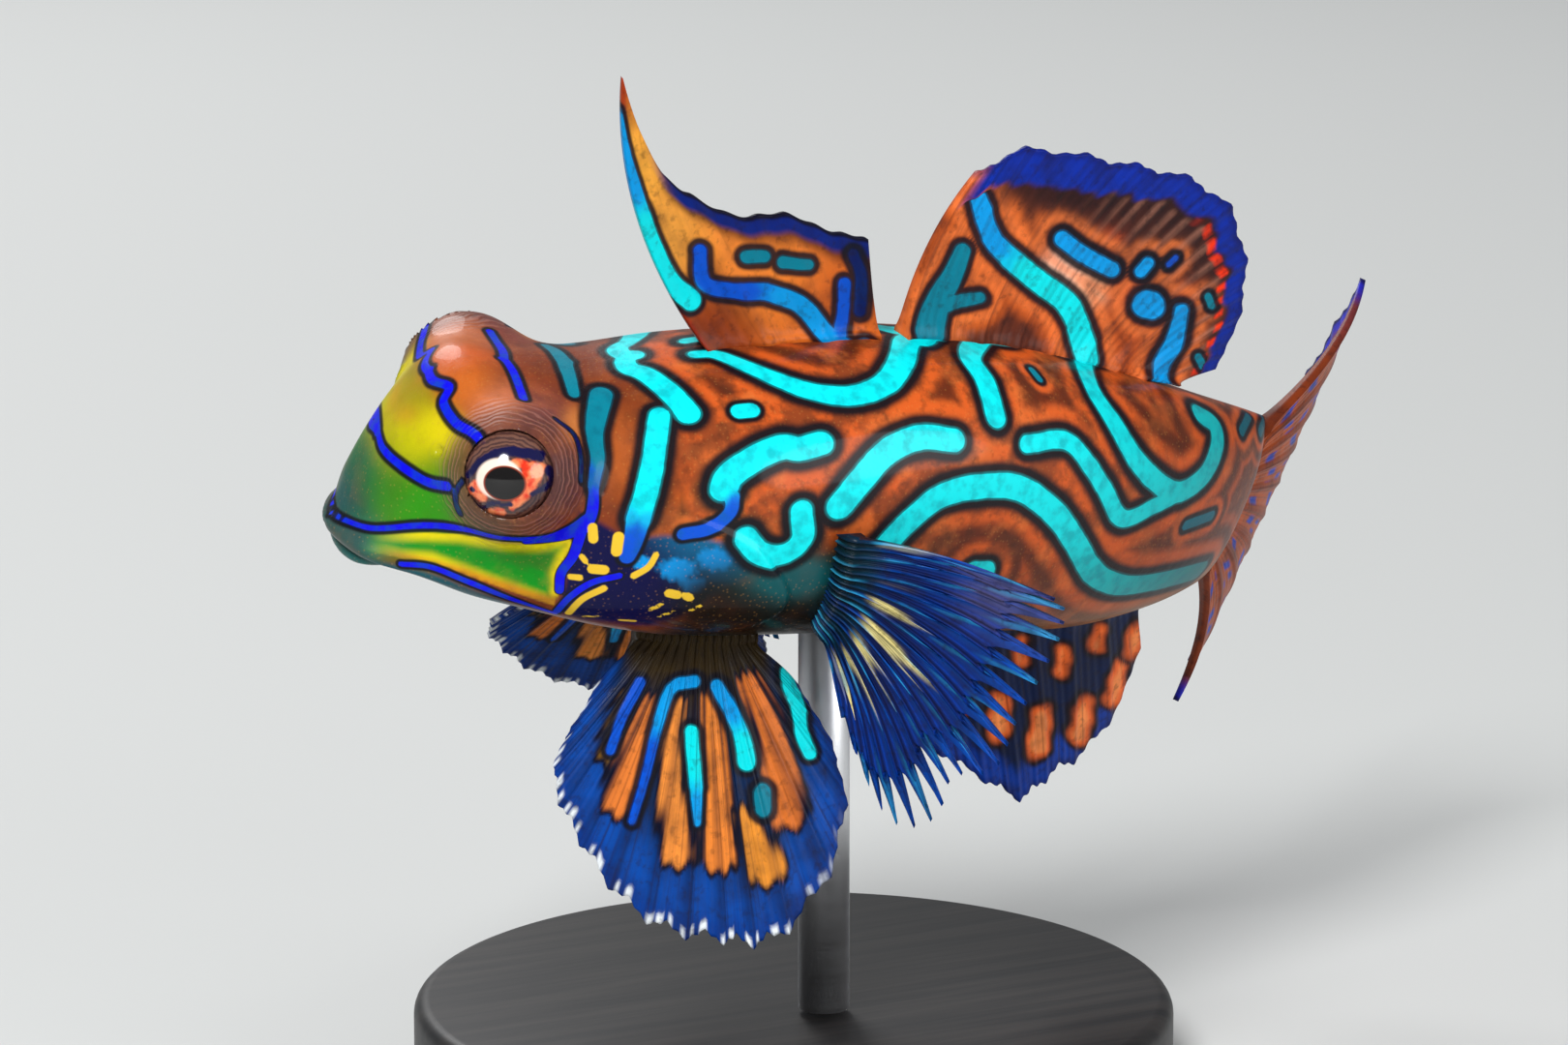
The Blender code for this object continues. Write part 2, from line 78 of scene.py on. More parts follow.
lens = bpy.data.cameras.new("camera")
lens.sensor_width = SENSOR
lens.lens = SENSOR * CAMERA_DISTANCE * PIXELS_PER_MM / PICTURE[0]
lens.shift_x = (PICTURE[0] / 2 - AIM_PIXEL[0]) / PICTURE[0]
lens.shift_y = (AIM_PIXEL[1] - PICTURE[1] / 2) / PICTURE[0]
lens.clip_start = NEAREST
camera = bpy.data.objects.new("camera", lens)
camera.matrix_world = Matrix(np.block([[np.stack([RIGHT, UP, BACK], 1), EYE_POINT[:, None] * MM],
                                       [np.zeros((1, 3)), 1]]).tolist())
bpy.context.collection.objects.link(camera)
bpy.context.scene.camera = camera

# The studio: a pale matt floor that runs out of sight, an even pale surround, one large soft
# light from the upper left, a weaker one from the right and a low one behind.
FLOOR_HALF = 1.5
FLOOR_COLOUR = (0.62, 0.63, 0.62, 1)
SURROUND_COLOUR, SURROUND_STRENGTH = (0.90, 0.93, 0.97, 1), 0.26
LIGHT_AIM = Vector((0, 0, 0.03))
LIGHTS = [
    # name, place in metres, size, power in watts
    ("key", (-0.40, -0.36, 0.52), 0.26, 5.2),
    ("fill", (0.34, -0.52, 0.12), 0.40, 1.9),
    ("rim", (0.05, 0.50, 0.40), 0.30, 1.6),
]


def new_mesh(name, points, *face_sets):
    """A smooth-shaded object at the origin from points (n, 3) in mm and arrays of quads or triangles."""
    mesh = bpy.data.meshes.new(name)
    corners = np.concatenate([f.ravel() for f in face_sets]).astype(np.int32)
    sides = np.concatenate([np.full(len(f), f.shape[1]) for f in face_sets]).astype(np.int32)
    mesh.vertices.add(len(points))
    mesh.vertices.foreach_set("co", (np.asarray(points) * MM).astype(np.float32).ravel())
    mesh.loops.add(len(corners))
    mesh.loops.foreach_set("vertex_index", corners)
    mesh.polygons.add(len(sides))
    mesh.polygons.foreach_set("loop_start", np.concatenate([[0], np.cumsum(sides)[:-1]]).astype(np.int32))
    mesh.polygons.foreach_set("loop_total", sides)
    mesh.update(calc_edges=True)
    mesh.validate()
    mesh.shade_smooth()
    made = bpy.data.objects.new(name, mesh)
    bpy.context.collection.objects.link(made)
    return made


class Paint:
    """A Principled material, with short ways to add nodes to it.

    Wherever a node takes a value, that is a number, a colour or another node's output.
    """

    def __init__(self, name, **values):
        self.material = bpy.data.materials.new(name)
        self.material.use_nodes = True
        self.surface = self.material.node_tree.nodes["Principled BSDF"]
        self.finish(**values)

    def join(self, node, values):
        for key, value in values.items():
            if isinstance(value, bpy.types.NodeSocket):
                self.material.node_tree.links.new(value, node.inputs[key])
            else:
                node.inputs[key].default_value = value

    def finish(self, **values):
        """Sets the surface's own values; _ stands for the space in their names."""
        self.join(self.surface, {key.replace("_", " "): value for key, value in values.items()})

    def on(self, piece):
        piece.data.materials.append(self.material)

    def node(self, kind, output, values, **settings):
        """A new node with its values and settings; gives one of its outputs."""
        node = self.material.node_tree.nodes.new("ShaderNode" + kind)
        for key, value in settings.items():
            setattr(node, key, value)
        self.join(node, values)
        return node.outputs[output]

    def math(self, operation, a, b=0.0):
        return self.node("Math", 0, {0: a, 1: b}, operation=operation)

    def times(self, a, b):
        return self.math("MULTIPLY", a, b)

    def step(self, value, low, high, most=None):
        """0 below low and 1 (or most) above high, smooth between; low may be the larger one."""
        share = self.node("MapRange", 0, {"Value": value, "From Min": min(low, high), "From Max": max(low, high),
                                          "To Min": float(low > high), "To Max": float(low < high)},
                          interpolation_type="SMOOTHSTEP")
        return share if most is None else self.times(share, most)

    def mix(self, share, a, b):
        return self.node("Mix", 2, {0: share, 6: a, 7: b}, data_type="RGBA")

    def coats(self, ground, *layers):
        """Coats over a ground one after another, each a share and a colour."""
        for share, colour in layers:
            ground = self.mix(share, ground, colour)
        return ground

    def where(self, scale=(1.0, 1.0, 1.0), source="Object"):
        """Place on the piece in metres, or its UV, stretched by a scale."""
        return self.node("Mapping", 0, {"Vector": self.node("TexCoord", source, {}), "Scale": scale})

    def noise(self, scale, detail=3.0, place=None):
        return self.node("TexNoise", "Fac", {"Vector": place or self.where(), "Scale": scale, "Detail": detail})

    def clouds(self, scale, detail, low, high, most=None):
        """Soft clouds of paint: the places where a noise rises from low to high."""
        return self.step(self.noise(scale, detail), low, high, most)

    def cells(self, scale):
        """Distance to the nearest of many scattered points."""
        return self.node("TexVoronoi", "Distance", {"Vector": self.where(), "Scale": scale})

    def value(self, name, output="Fac"):
        """One of the mesh's own attributes."""
        return self.node("Attribute", output, {}, attribute_name=name)

    def uneven(self, name, scale, height):
        """A distance kept by the mesh, made to waver by up to a height either way."""
        waver = self.math("SUBTRACT", self.times(self.noise(scale, 2.0), 2 * height), height)
        return self.math("ADD", self.value(name), waver)

    def bump(self, height, distance, strength, under=None):
        below = {} if under is None else {"Normal": under}
        return self.node("Bump", 0, {"Height": height, "Distance": distance, "Strength": strength, **below})


corners = np.array([(-1, -1, 0), (1, -1, 0), (1, 1, 0), (-1, 1, 0)]) * FLOOR_HALF / MM
floor = new_mesh("floor", corners, np.array([[0, 1, 2, 3]]))
Paint("floor_paint", Base_Color=FLOOR_COLOUR, Roughness=0.7).on(floor)

for name, position, size, watts in LIGHTS:
    lamp = bpy.data.lights.new(name, "AREA")
    lamp.shape, lamp.size, lamp.energy = "DISK", size, watts
    holder = bpy.data.objects.new(name, lamp)
    holder.location = position
    holder.rotation_euler = (LIGHT_AIM - Vector(position)).to_track_quat("-Z", "Y").to_euler()
    bpy.context.collection.objects.link(holder)

world = bpy.data.worlds.new("surround")
world.use_nodes = True
world.node_tree.nodes["Background"].inputs["Color"].default_value = SURROUND_COLOUR
world.node_tree.nodes["Background"].inputs["Strength"].default_value = SURROUND_STRENGTH
bpy.context.scene.world = world
bpy.context.scene.view_settings.view_transform = "Standard"

# The stand's base is a turned disc of black lacquered wood with a softly rounded rim. It is
# heavier than it looks and carries the whole model on its flat underside.
BASE_RADIUS, BASE_HEIGHT, BASE_ROUND, BASE_FOOT = 19.0, 4.0, 0.8, 0.2
BASE_SEGMENTS, ROUND_STEPS = 160, 8
LACQUER, LACQUER_GRAIN = (0.008, 0.008, 0.009, 1), (0.024, 0.021, 0.020, 1)


def tube_faces(rings, around):
    """Quads between closed rings and triangle fans at both ends, as two arrays.

    Point 0 closes the first ring and the last point closes the last ring.
    """
    i, j = (a.ravel() for a in np.meshgrid(np.arange(rings - 1), np.arange(around), indexing="ij"))
    k = (j + 1) % around
    a = 1 + i * around
    quads = np.stack([a + j, a + k, a + around + k, a + around + j], -1)
    j = np.arange(around)
    k = (j + 1) % around
    last = 1 + (rings - 1) * around
    front = np.stack([0 * j, 1 + k, 1 + j], -1)
    back = np.stack([last + j, last + k, 0 * j + 1 + rings * around], -1)
    return quads, np.concatenate([front, back])


def turned(name, radius, height, around):
    """A profile of radii and heights turned about the upright axis, from the bottom up."""
    turn = np.linspace(0, 2 * pi, around, endpoint=False)
    rings = np.stack([radius[:, None] * np.cos(turn), radius[:, None] * np.sin(turn),
                      height[:, None] + 0 * turn], -1).reshape(-1, 3)
    points = np.concatenate([[(0, 0, height[0])], rings, [(0, 0, height[-1])]])
    return new_mesh(name, points, *tube_faces(len(radius), around))


round_turn = np.linspace(0, pi / 2, ROUND_STEPS)
radius = np.concatenate([[BASE_RADIUS / 2, BASE_RADIUS - BASE_FOOT, BASE_RADIUS],
                         BASE_RADIUS - BASE_ROUND * (1 - np.cos(round_turn)), [BASE_RADIUS / 2]])
height = np.concatenate([[0.0, 0.0, BASE_FOOT], BASE_HEIGHT - BASE_ROUND * (1 - np.sin(round_turn)), [BASE_HEIGHT]])
base = turned("base_disc", radius, height, BASE_SEGMENTS)
lacquer = Paint("black_lacquer", Roughness=0.5, Specular_IOR_Level=0.3, Coat_Weight=0.06, Coat_Roughness=0.25)
grain = lacquer.noise(1.0, 6.0, lacquer.where((60, 900, 900)))
lacquer.finish(Base_Color=lacquer.mix(lacquer.step(grain, 0.35, 0.7), LACQUER, LACQUER_GRAIN),
               Normal=lacquer.bump(grain, 0.0001, 0.3))
lacquer.on(base)
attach(base, "root")
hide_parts("stand_base")

# The body is one smooth scaleless skin over head, trunk and tail, slimy and glossy. It is a row
# of cross sections along a bent line, and the eyes are set into two domes on top of the head.
BODY_LENGTH = 52.4
SECTIONS = [
    # distance from the snout, back, belly, half width, level of the widest part
    (0.0, -0.2, -2.1, 1.6, -1.2),
    (1.0, 1.8, -2.1, 2.8, -1.4),
    (3.0, 5.0, -2.2, 4.5, -1.5),
    (5.5, 7.3, -3.3, 5.9, -1.6),
    (8.5, 6.9, -4.6, 6.4, -1.6),
    (12.0, 6.5, -5.8, 7.2, -1.5),
    (16.0, 6.8, -6.8, 7.4, -1.3),
    (21.0, 7.0, -7.3, 7.2, -1.0),
    (27.0, 7.1, -7.5, 6.7, -0.6),
    (34.0, 6.7, -7.8, 5.8, -0.5),
    (40.0, 5.8, -7.7, 4.7, -0.4),
    (46.0, 4.8, -6.6, 3.3, -0.4),
    (BODY_LENGTH, 4.0, -5.0, 1.4, -0.3),
]
POSE = [
    # distance from the snout, turn to the right, droop of the line, lean of the back to the left
    (0.0, -12.0, -1.0, 15.0),
    (12.0, -12.0, -1.0, 15.0),
    (19.0, -6.0, 2.0, 13.0),
    (26.0, 2.0, 5.0, 12.0),
    (40.0, 9.0, 10.0, 13.0),
    (BODY_LENGTH, 32.0, 12.0, 19.0),
    (68.0, 75.0, 12.0, 26.0),
    (78.0, 88.0, 12.0, 27.0),
]
LINE_LENGTH, LINE_STEPS = 78, 780
BACK_SQUARENESS, BELLY_SQUARENESS = 2.3, 2.5
NOSE_ROUNDING = 1.0
SNOUT_AT = (-25.3, -1.3, 31.8)
EYE_S, EYE_SIDE, EYE_Z = 7.5, 5.1, 3.6
DOME_RADIUS, DOME_BLEND, DOME_ROOM = 3.15, 2.0, 8.0
HALVINGS = 24
EYE_OUT, EYE_RADIUS = 0.8, 2.4
GAZE = (-0.28, 0.86, 0.42)
MOUTH_Z, MOUTH_FALL, MOUTH_LENGTH, MOUTH_CORNER = -1.5, 0.15, 1.8, 0.2
MOUTH_DEPTH, MOUTH_WIDTH = 0.34, 0.13
LIP_SWELL, LIP_OFFSET, LIP_WIDTH = 0.42, 0.62, 0.45
GILL_EDGE_S, GILL_TURN, GILL_HALF_TURN = 20.2, 106.0, 26.0
GILL_LIFT, GILL_EDGE, GILL_BOW, GILL_SLOPE = 0.45, 0.3, 3.0, 3.0
NOSTRIL_S, NOSTRIL_TURN = 4.1, 46.0
NOSTRIL_DEPTH, NOSTRIL_WIDTH = 0.30, 0.22
NOSTRIL_RIM, NOSTRIL_RIM_AT, NOSTRIL_RIM_WIDTH = 0.10, 0.40, 0.12
SKIN_AROUND = 260
HEAD_STEP, TRUNK_STEP = ((0.105, 0.155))
HEAD_LENGTH = 13.0
SNOUT_STOPS = (0.03, 0.08, 0.15, 0.25, 0.4)
TAIL_CLOSE, SKIN_UNDER = 2.2, 0.02
SOCKET_ROOM, SOCKET_RIM, RIM_DRAW = 0.10, 2.08, 0.10


def curve(rows, column, x):
    """Smooth cubic through one column of a table, its slopes taken from the neighbouring rows."""
    table = np.array(rows, float)
    knots, values = table[:, 0], table[:, column]
    slopes = np.gradient(values, knots)
    x = np.clip(np.asarray(x, float), knots[0], knots[-1])
    i = np.clip(np.searchsorted(knots, x) - 1, 0, len(knots) - 2)
    h = knots[i + 1] - knots[i]
    t = (x - knots[i]) / h
    start = (2 * t**3 - 3 * t**2 + 1) * values[i] + (t**3 - 2 * t**2 + t) * h * slopes[i]
    end = (3 * t**2 - 2 * t**3) * values[i + 1] + (t**3 - t**2) * h * slopes[i + 1]
    return start + end


def line_frames():
    """Points of the bent line with its tailward, right and up directions, every 0.1 mm.

    The tailward direction turns and droops by the pose, up leans with it, and the points are the
    sum of short steps tailwards.
    """
    s = np.linspace(0, LINE_LENGTH, LINE_STEPS + 1)
    turn, droop, lean = (np.radians(curve(POSE, k, s)) for k in (1, 2, 3))
    tail = np.stack([np.cos(turn) * np.cos(droop), np.sin(turn) * np.cos(droop), -np.sin(droop)], -1)
    level = np.stack([-np.sin(turn), np.cos(turn), np.zeros_like(s)], -1)
    plumb = np.cross(tail, level)
    up = plumb * np.cos(lean)[:, None] - level * np.sin(lean)[:, None]
    right = level * np.cos(lean)[:, None] + plumb * np.sin(lean)[:, None]
    steps = (tail[1:] + tail[:-1]) / 2 * np.diff(s)[:, None]
    point = np.concatenate([np.zeros((1, 3)), np.cumsum(steps, 0)]) + np.array(SNOUT_AT)
    return s, point, tail, right, up


LINE = line_frames()


def along(s, which):
    """One of the line's vectors (1 point, 2 tail, 3 right, 4 up) at the distances s."""
    return np.stack([np.interp(s, LINE[0], LINE[which][:, k]) for k in range(3)], -1)


def place(s, side, z):
    """World points of places given along, beside and above the bent line."""
    s, side, z = np.broadcast_arrays(np.asarray(s, float), side, z)
    return along(s, 1) + along(s, 3) * side[..., None] + along(s, 4) * z[..., None]


def section(s, turn):
    """Side, z and level of the plain cross section: a superellipse, its turn 0 on the back.

    The half width goes with a power of the sine and the height with one of the cosine, and both
    shrink to nothing as a quarter circle at the snout.
    """
    top, bottom, half, level = (curve(SECTIONS, k, s) for k in (1, 2, 3, 4))
    c, n = np.cos(turn), np.sin(turn)
    power = np.where(c > 0, 2 / BACK_SQUARENESS, 2 / BELLY_SQUARENESS)
    rise = np.where(c > 0, top - level, level - bottom)
    round_off = np.sqrt(1 - (1 - np.clip(s / NOSE_ROUNDING, 0, 1)) ** 2)
    side = half * np.sign(n) * np.abs(n) ** power * round_off
    return side, rise * np.sign(c) * np.abs(c) ** power * round_off, level


def skin(s, turn):
    """Side and z of the skin: the plain section swollen smoothly into the two eye domes.

    Along each spoke from the middle, halving finds where the smooth minimum of the distances to
    the section and to the dome's ball is nothing.
    """
    s, turn = np.broadcast_arrays(np.asarray(s, float), np.asarray(turn, float))
    side, z, level = section(s, turn)
    reach = np.maximum(np.hypot(side, z), 1e-6)
    way_side, way_z = side / reach, z / reach
    low, high = np.zeros_like(reach), reach + DOME_ROOM
    for _ in range(HALVINGS):
        t = (low + high) / 2
        plain = t - reach
        dome = np.sqrt((s - EYE_S) ** 2 + (np.abs(way_side * t) - EYE_SIDE) ** 2
                       + (level + way_z * t - EYE_Z) ** 2) - DOME_RADIUS
        mix = np.maximum(DOME_BLEND - np.abs(plain - dome), 0) / DOME_BLEND
        inside = np.minimum(plain, dome) - mix**2 * DOME_BLEND / 4 < 0
        low, high = np.where(inside, t, low), np.where(inside, high, t)
    return way_side * low, level + way_z * low


def bump(x):
    """A smooth hill of height 1 at 0 and about nothing past 2."""
    return np.exp(-np.asarray(x, float) ** 2)


def relief(s, turn, z):
    """How far the skin stands out from its smooth shape.

    The lips are two hills beside the mouth slit, a narrow valley that ends at its corners. The
    gill cover rises slowly tailwards and ends at a bowed edge.
    """
    above = z - MOUTH_Z + MOUTH_FALL * s
    front = 1 / (1 + np.exp((s - MOUTH_LENGTH) / MOUTH_CORNER))
    lips = LIP_SWELL * (bump((above - LIP_OFFSET) / LIP_WIDTH) + bump((above + LIP_OFFSET) / LIP_WIDTH))
    off = (np.degrees(np.abs((turn + pi) % (2 * pi) - pi)) - GILL_TURN) / GILL_HALF_TURN
    ahead = GILL_EDGE_S - GILL_BOW * off**2 - s
    flap = bump(off) * np.clip(ahead / GILL_EDGE, 0, 1) * np.exp(-np.maximum(ahead, 0) / GILL_SLOPE)
    return front * (lips - MOUTH_DEPTH * bump(above / MOUTH_WIDTH)) + GILL_LIFT * flap


def skin_point(s, turn):
    """World point of the smooth skin at the distance s and the turn in degrees, + to the right."""
    side, z = skin(s, np.radians(turn))
    return place(s, side, z)


def skin_normal(s, turn):
    """Outward normal of the skin, from two short steps along it."""
    along_body = skin_point(s + 0.05, turn) - skin_point(s - 0.05, turn)
    around = skin_point(s, np.asarray(turn) + 0.5) - skin_point(s, np.asarray(turn) - 0.5)
    normal = np.cross(along_body, around)
    return normal / np.linalg.norm(normal, axis=-1, keepdims=True)


def eye_place(hand):
    """Centre of an eyeball and the way it looks; hand is -1 for the left eye and +1 for the right."""
    tail, right, up = along(EYE_S, 2), along(EYE_S, 3), along(EYE_S, 4)
    gaze = tail * GAZE[0] + right * hand * GAZE[1] + up * GAZE[2]
    gaze /= np.linalg.norm(gaze)
    return place(EYE_S, hand * EYE_SIDE, EYE_Z) + gaze * EYE_OUT, gaze


def even_turns(count):
    """Turns from 0 to a full one, set closer where the sections through the eyes are steep.

    They share out evenly the way travelled round three sections taken together.
    """
    fine = np.linspace(0, 2 * pi, 1441)
    travel = 0
    for s in (6.0, 9.0, 24.0):
        ring = np.stack(skin(s, fine), -1)
        travel = travel + np.concatenate([[0], np.cumsum(np.linalg.norm(np.diff(ring, axis=0), axis=1))])
    return np.interp(np.linspace(0, travel[-1], count, endpoint=False), travel, fine)


stops = np.concatenate([SNOUT_STOPS, np.arange(0.5, HEAD_LENGTH, HEAD_STEP),
                        np.arange(HEAD_LENGTH, BODY_LENGTH - TRUNK_STEP / 2, TRUNK_STEP),
                        [BODY_LENGTH - SKIN_UNDER]])
skin_s, skin_turn = np.broadcast_arrays(stops[:, None], -even_turns(SKIN_AROUND)[None, :])
skin_side, skin_z = skin(skin_s, skin_turn)
near_end = np.clip((stops - BODY_LENGTH + TAIL_CLOSE) / (TAIL_CLOSE + 0.1), 0, 1)
skin_side = skin_side * np.sqrt(1 - near_end**2)[:, None]
stand_out = relief(skin_s, skin_turn, skin_z) - SKIN_UNDER
skin_points = place(skin_s, skin_side, skin_z)
for hand in (-1, 1):
    away = np.linalg.norm(skin_points - skin_point(NOSTRIL_S, hand * NOSTRIL_TURN), axis=-1)
    stand_out = (stand_out - NOSTRIL_DEPTH * bump(away / NOSTRIL_WIDTH)
                 + NOSTRIL_RIM * bump((away - NOSTRIL_RIM_AT) / NOSTRIL_RIM_WIDTH))
skin_points = skin_points + skin_normal(skin_s, np.degrees(skin_turn)) * stand_out[..., None]
for hand in (-1, 1):
    # a round opening round the eyeball: the skin beside its rim is drawn on to the rim, and what
    # lies inside the rim falls back behind the ball to line the socket
    centre, gaze = eye_place(hand)
    lean = ((skin_points - centre) @ gaze)[..., None]
    across = skin_points - centre - lean * gaze
    off_axis = np.linalg.norm(across, axis=-1, keepdims=True)
    on_rim = (lean > 0) & (off_axis > SOCKET_RIM - RIM_DRAW) & (off_axis < SOCKET_RIM + RIM_DRAW)
    drawn_in = centre + lean * gaze + across * (SOCKET_RIM / np.maximum(off_axis, 0.1))
    within = (lean > 0) & (off_axis <= SOCKET_RIM - RIM_DRAW)
    depth = np.sqrt(np.maximum((EYE_RADIUS + SOCKET_ROOM) ** 2 - off_axis**2, 0))
    lined = centre + across - gaze * depth
    skin_points = np.where(on_rim, drawn_in, np.where(within, lined, skin_points))
nose_end = place(-SKIN_UNDER, 0.0, curve(SECTIONS, 4, 0.0))
body_world = np.concatenate([nose_end[None], skin_points.reshape(-1, 3), skin_points[-1].mean(0)[None]])
body = new_mesh("body_skin", body_world, *tube_faces(len(stops), SKIN_AROUND))

# The body's markings are painted under the gloss: bright blue-green stripes with black edges on
# an orange-brown ground, and thin royal blue lines round green and yellow fields of the face. Each
# is a smooth line through named pixels of the photograph, thrown on to the near side of the skin.
CYAN, AZURE, TEAL = (0, 226, 230), (0, 150, 224), (0, 122, 142)
BLUE, DEEP, NAVY = (12, 6, 220), (0, 78, 200), (4, 10, 80)
BODY_LINES = [
    # colour, width at both ends, black edge (mm), pixels of the line
    (BLUE, 0.32, 0.42, 0.18, [(390, 446), (396, 464), (414, 481), (441, 498), (464, 503)]),
    (BLUE, 0.42, 0.42, 0.2, [(440, 372), (446, 392), (464, 400), (458, 416), (471, 437), (488, 447),
     (499, 457)]),
    (BLUE, 0.4, 0.38, 0.2, [(506, 338), (511, 358), (529, 382), (541, 412)]),
    (TEAL, 0.75, 0.5, 0.26, [(566, 349), (579, 366), (587, 385), (593, 407)]),
    (TEAL, 1.0, 0.62, 0.34, [(621, 408), (614, 445), (617, 474), (613, 500)]),
    (BLUE, 0.5, 0.6, 0.12, [(614, 486), (613, 512), (611, 531), (604, 545)]),
    (CYAN, 0.9, 1.05, 0.37, [(657, 343), (646, 376), (668, 387), (695, 408), (711, 427)]),
    (CYAN, 0.9, 1.05, 0.37, [(681, 430), (675, 474), (669, 505), (660, 535)]),
    (DEEP, 1.05, 0.7, 0.18, [(660, 535), (654, 560), (648, 575)]),
    (CYAN, 0.75, 0.75, 0.2, [(764, 425), (776, 424)]),
    (CYAN, 1.1, 1.25, 0.42, [(848, 458), (826, 464), (808, 462), (778, 475), (754, 492), (748, 504)]),
    (DEEP, 0.6, 0.55, 0.18, [(757, 514), (754, 530), (734, 546), (706, 552)]),
    (CYAN, 1.0, 1.05, 0.4, [(828, 528), (829, 556), (812, 572), (787, 573), (770, 556)]),
    (CYAN, 0.65, 1.3, 0.42, [(718, 366), (742, 367), (784, 384), (830, 402), (876, 409), (912, 398), (930, 376),
     (938, 352), (953, 350), (962, 325), (971, 300), (978, 272)]),
    (CYAN, 1.1, 1.1, 0.42, [(1046, 331), (1022, 344), (1002, 366), (1018, 394), (1029, 431)]),
    (TEAL, 0.35, 0.35, 0.2, [(1066, 382), (1074, 392)]),
    (CYAN, 0.9, 1.15, 0.43, [(1062, 282), (1092, 304), (1110, 336), (1116, 365), (1129, 402), (1152, 438),
     (1172, 472), (1192, 495), (1216, 509), (1243, 493), (1257, 464), (1255, 440), (1240, 428)]),
    (CYAN, 0.85, 0.9, 0.42, [(1061, 459), (1100, 455), (1123, 477), (1142, 507), (1160, 536), (1195, 522),
     (1216, 511)]),
    (CYAN, 1.15, 1.25, 0.43, [(986, 455), (951, 452), (917, 467), (890, 496), (868, 523)]),
    (CYAN, 1.2, 1.2, 0.43, [(908, 572), (938, 540), (972, 513), (1013, 503), (1054, 505), (1090, 531),
     (1112, 562), (1130, 592), (1158, 605), (1197, 601), (1240, 590)]),
    (CYAN, 1.5, 1.5, 0.34, [(1003, 594), (1015, 594)]),
    (TEAL, 0.55, 0.55, 0.24, [(1225, 543), (1252, 533)]),
    (TEAL, 0.5, 0.4, 0.24, [(1283, 446), (1290, 430)]),
    (TEAL, 0.5, 0.4, 0.24, [(1302, 447), (1308, 430)]),
    (BLUE, 0.2, 0.4, 0.16, [(338, 519), (345, 530), (358, 538), (387, 546), (437, 543), (475, 546), (518, 556),
     (560, 556), (587, 547), (606, 535)]),
    (BLUE, 0.42, 0.6, 0.05, [(545, 560), (573, 556), (592, 550), (606, 540)]),
    (BLUE, 0.24, 0.3, 0.12, [(414, 583), (445, 586), (483, 601), (525, 618), (573, 634)]),
    (BLUE, 0.34, 0.3, 0.08, [(575, 632), (590, 616), (612, 602), (640, 595)]),
    (BLUE, 0.5, 0.4, 0.05, [(600, 552), (592, 575), (580, 592), (578, 610)]),
    (NAVY, 0.22, 0.36, 0.07, [(480, 494), (472, 506), (471, 520), (475, 530)]),
    (NAVY, 0.18, 0.3, 0.1, [(574, 433), (593, 449), (600, 472), (600, 496)]),
]
SNOUT_LINES = [
    # this one runs along the far side of the snout alone
    (BLUE, 0.34, 0.44, 0.2, [(399, 372), (393, 392), (389, 418), (390, 446)]),
]
YELLOW_LINES = [
    # width at both ends, pixels of the line
    (0.46, 0.46, [(612, 545), (613, 557)]), (0.52, 0.52, [(639, 555), (637, 570)]), (0.28, 0.28, [(601, 575),
    (605, 580)]), (0.5, 0.5, [(612, 588), (624, 589)]), (0.3, 0.34, [(589, 596), (599, 597)]),
    (0.36, 0.36, [(587, 634), (602, 619), (624, 608)]), (0.36, 0.3, [(655, 595), (670, 586), (678, 573)]),
    (0.46, 0.46, [(691, 613), (700, 615)]), (0.42, 0.42, [(709, 616), (713, 618)]), (0.26, 0.26, [(672, 630),
    (683, 625)]), (0.2, 0.2, [(681, 637), (696, 632)]), (0.22, 0.22, [(640, 641), (656, 642)]),
    (0.2, 0.2, [(713, 631), (724, 626)]), (0.18, 0.18, [(602, 637), (618, 637)]),
]
CHEEK_OUTLINE = [
    (352, 548), (385, 552), (437, 550), (475, 552), (518, 560), (556, 562), (576, 558), (588, 555), (592, 564),
    (583, 577), (577, 592), (579, 606), (572, 626), (530, 612), (485, 595), (445, 580), (414, 577), (380, 566),
]
GILL_OUTLINE = [
    (598, 528), (622, 540), (650, 556), (684, 552), (735, 556), (772, 566), (790, 578), (778, 596), (742, 612),
    (716, 634), (670, 648), (600, 642), (576, 634), (582, 604), (590, 560),
]
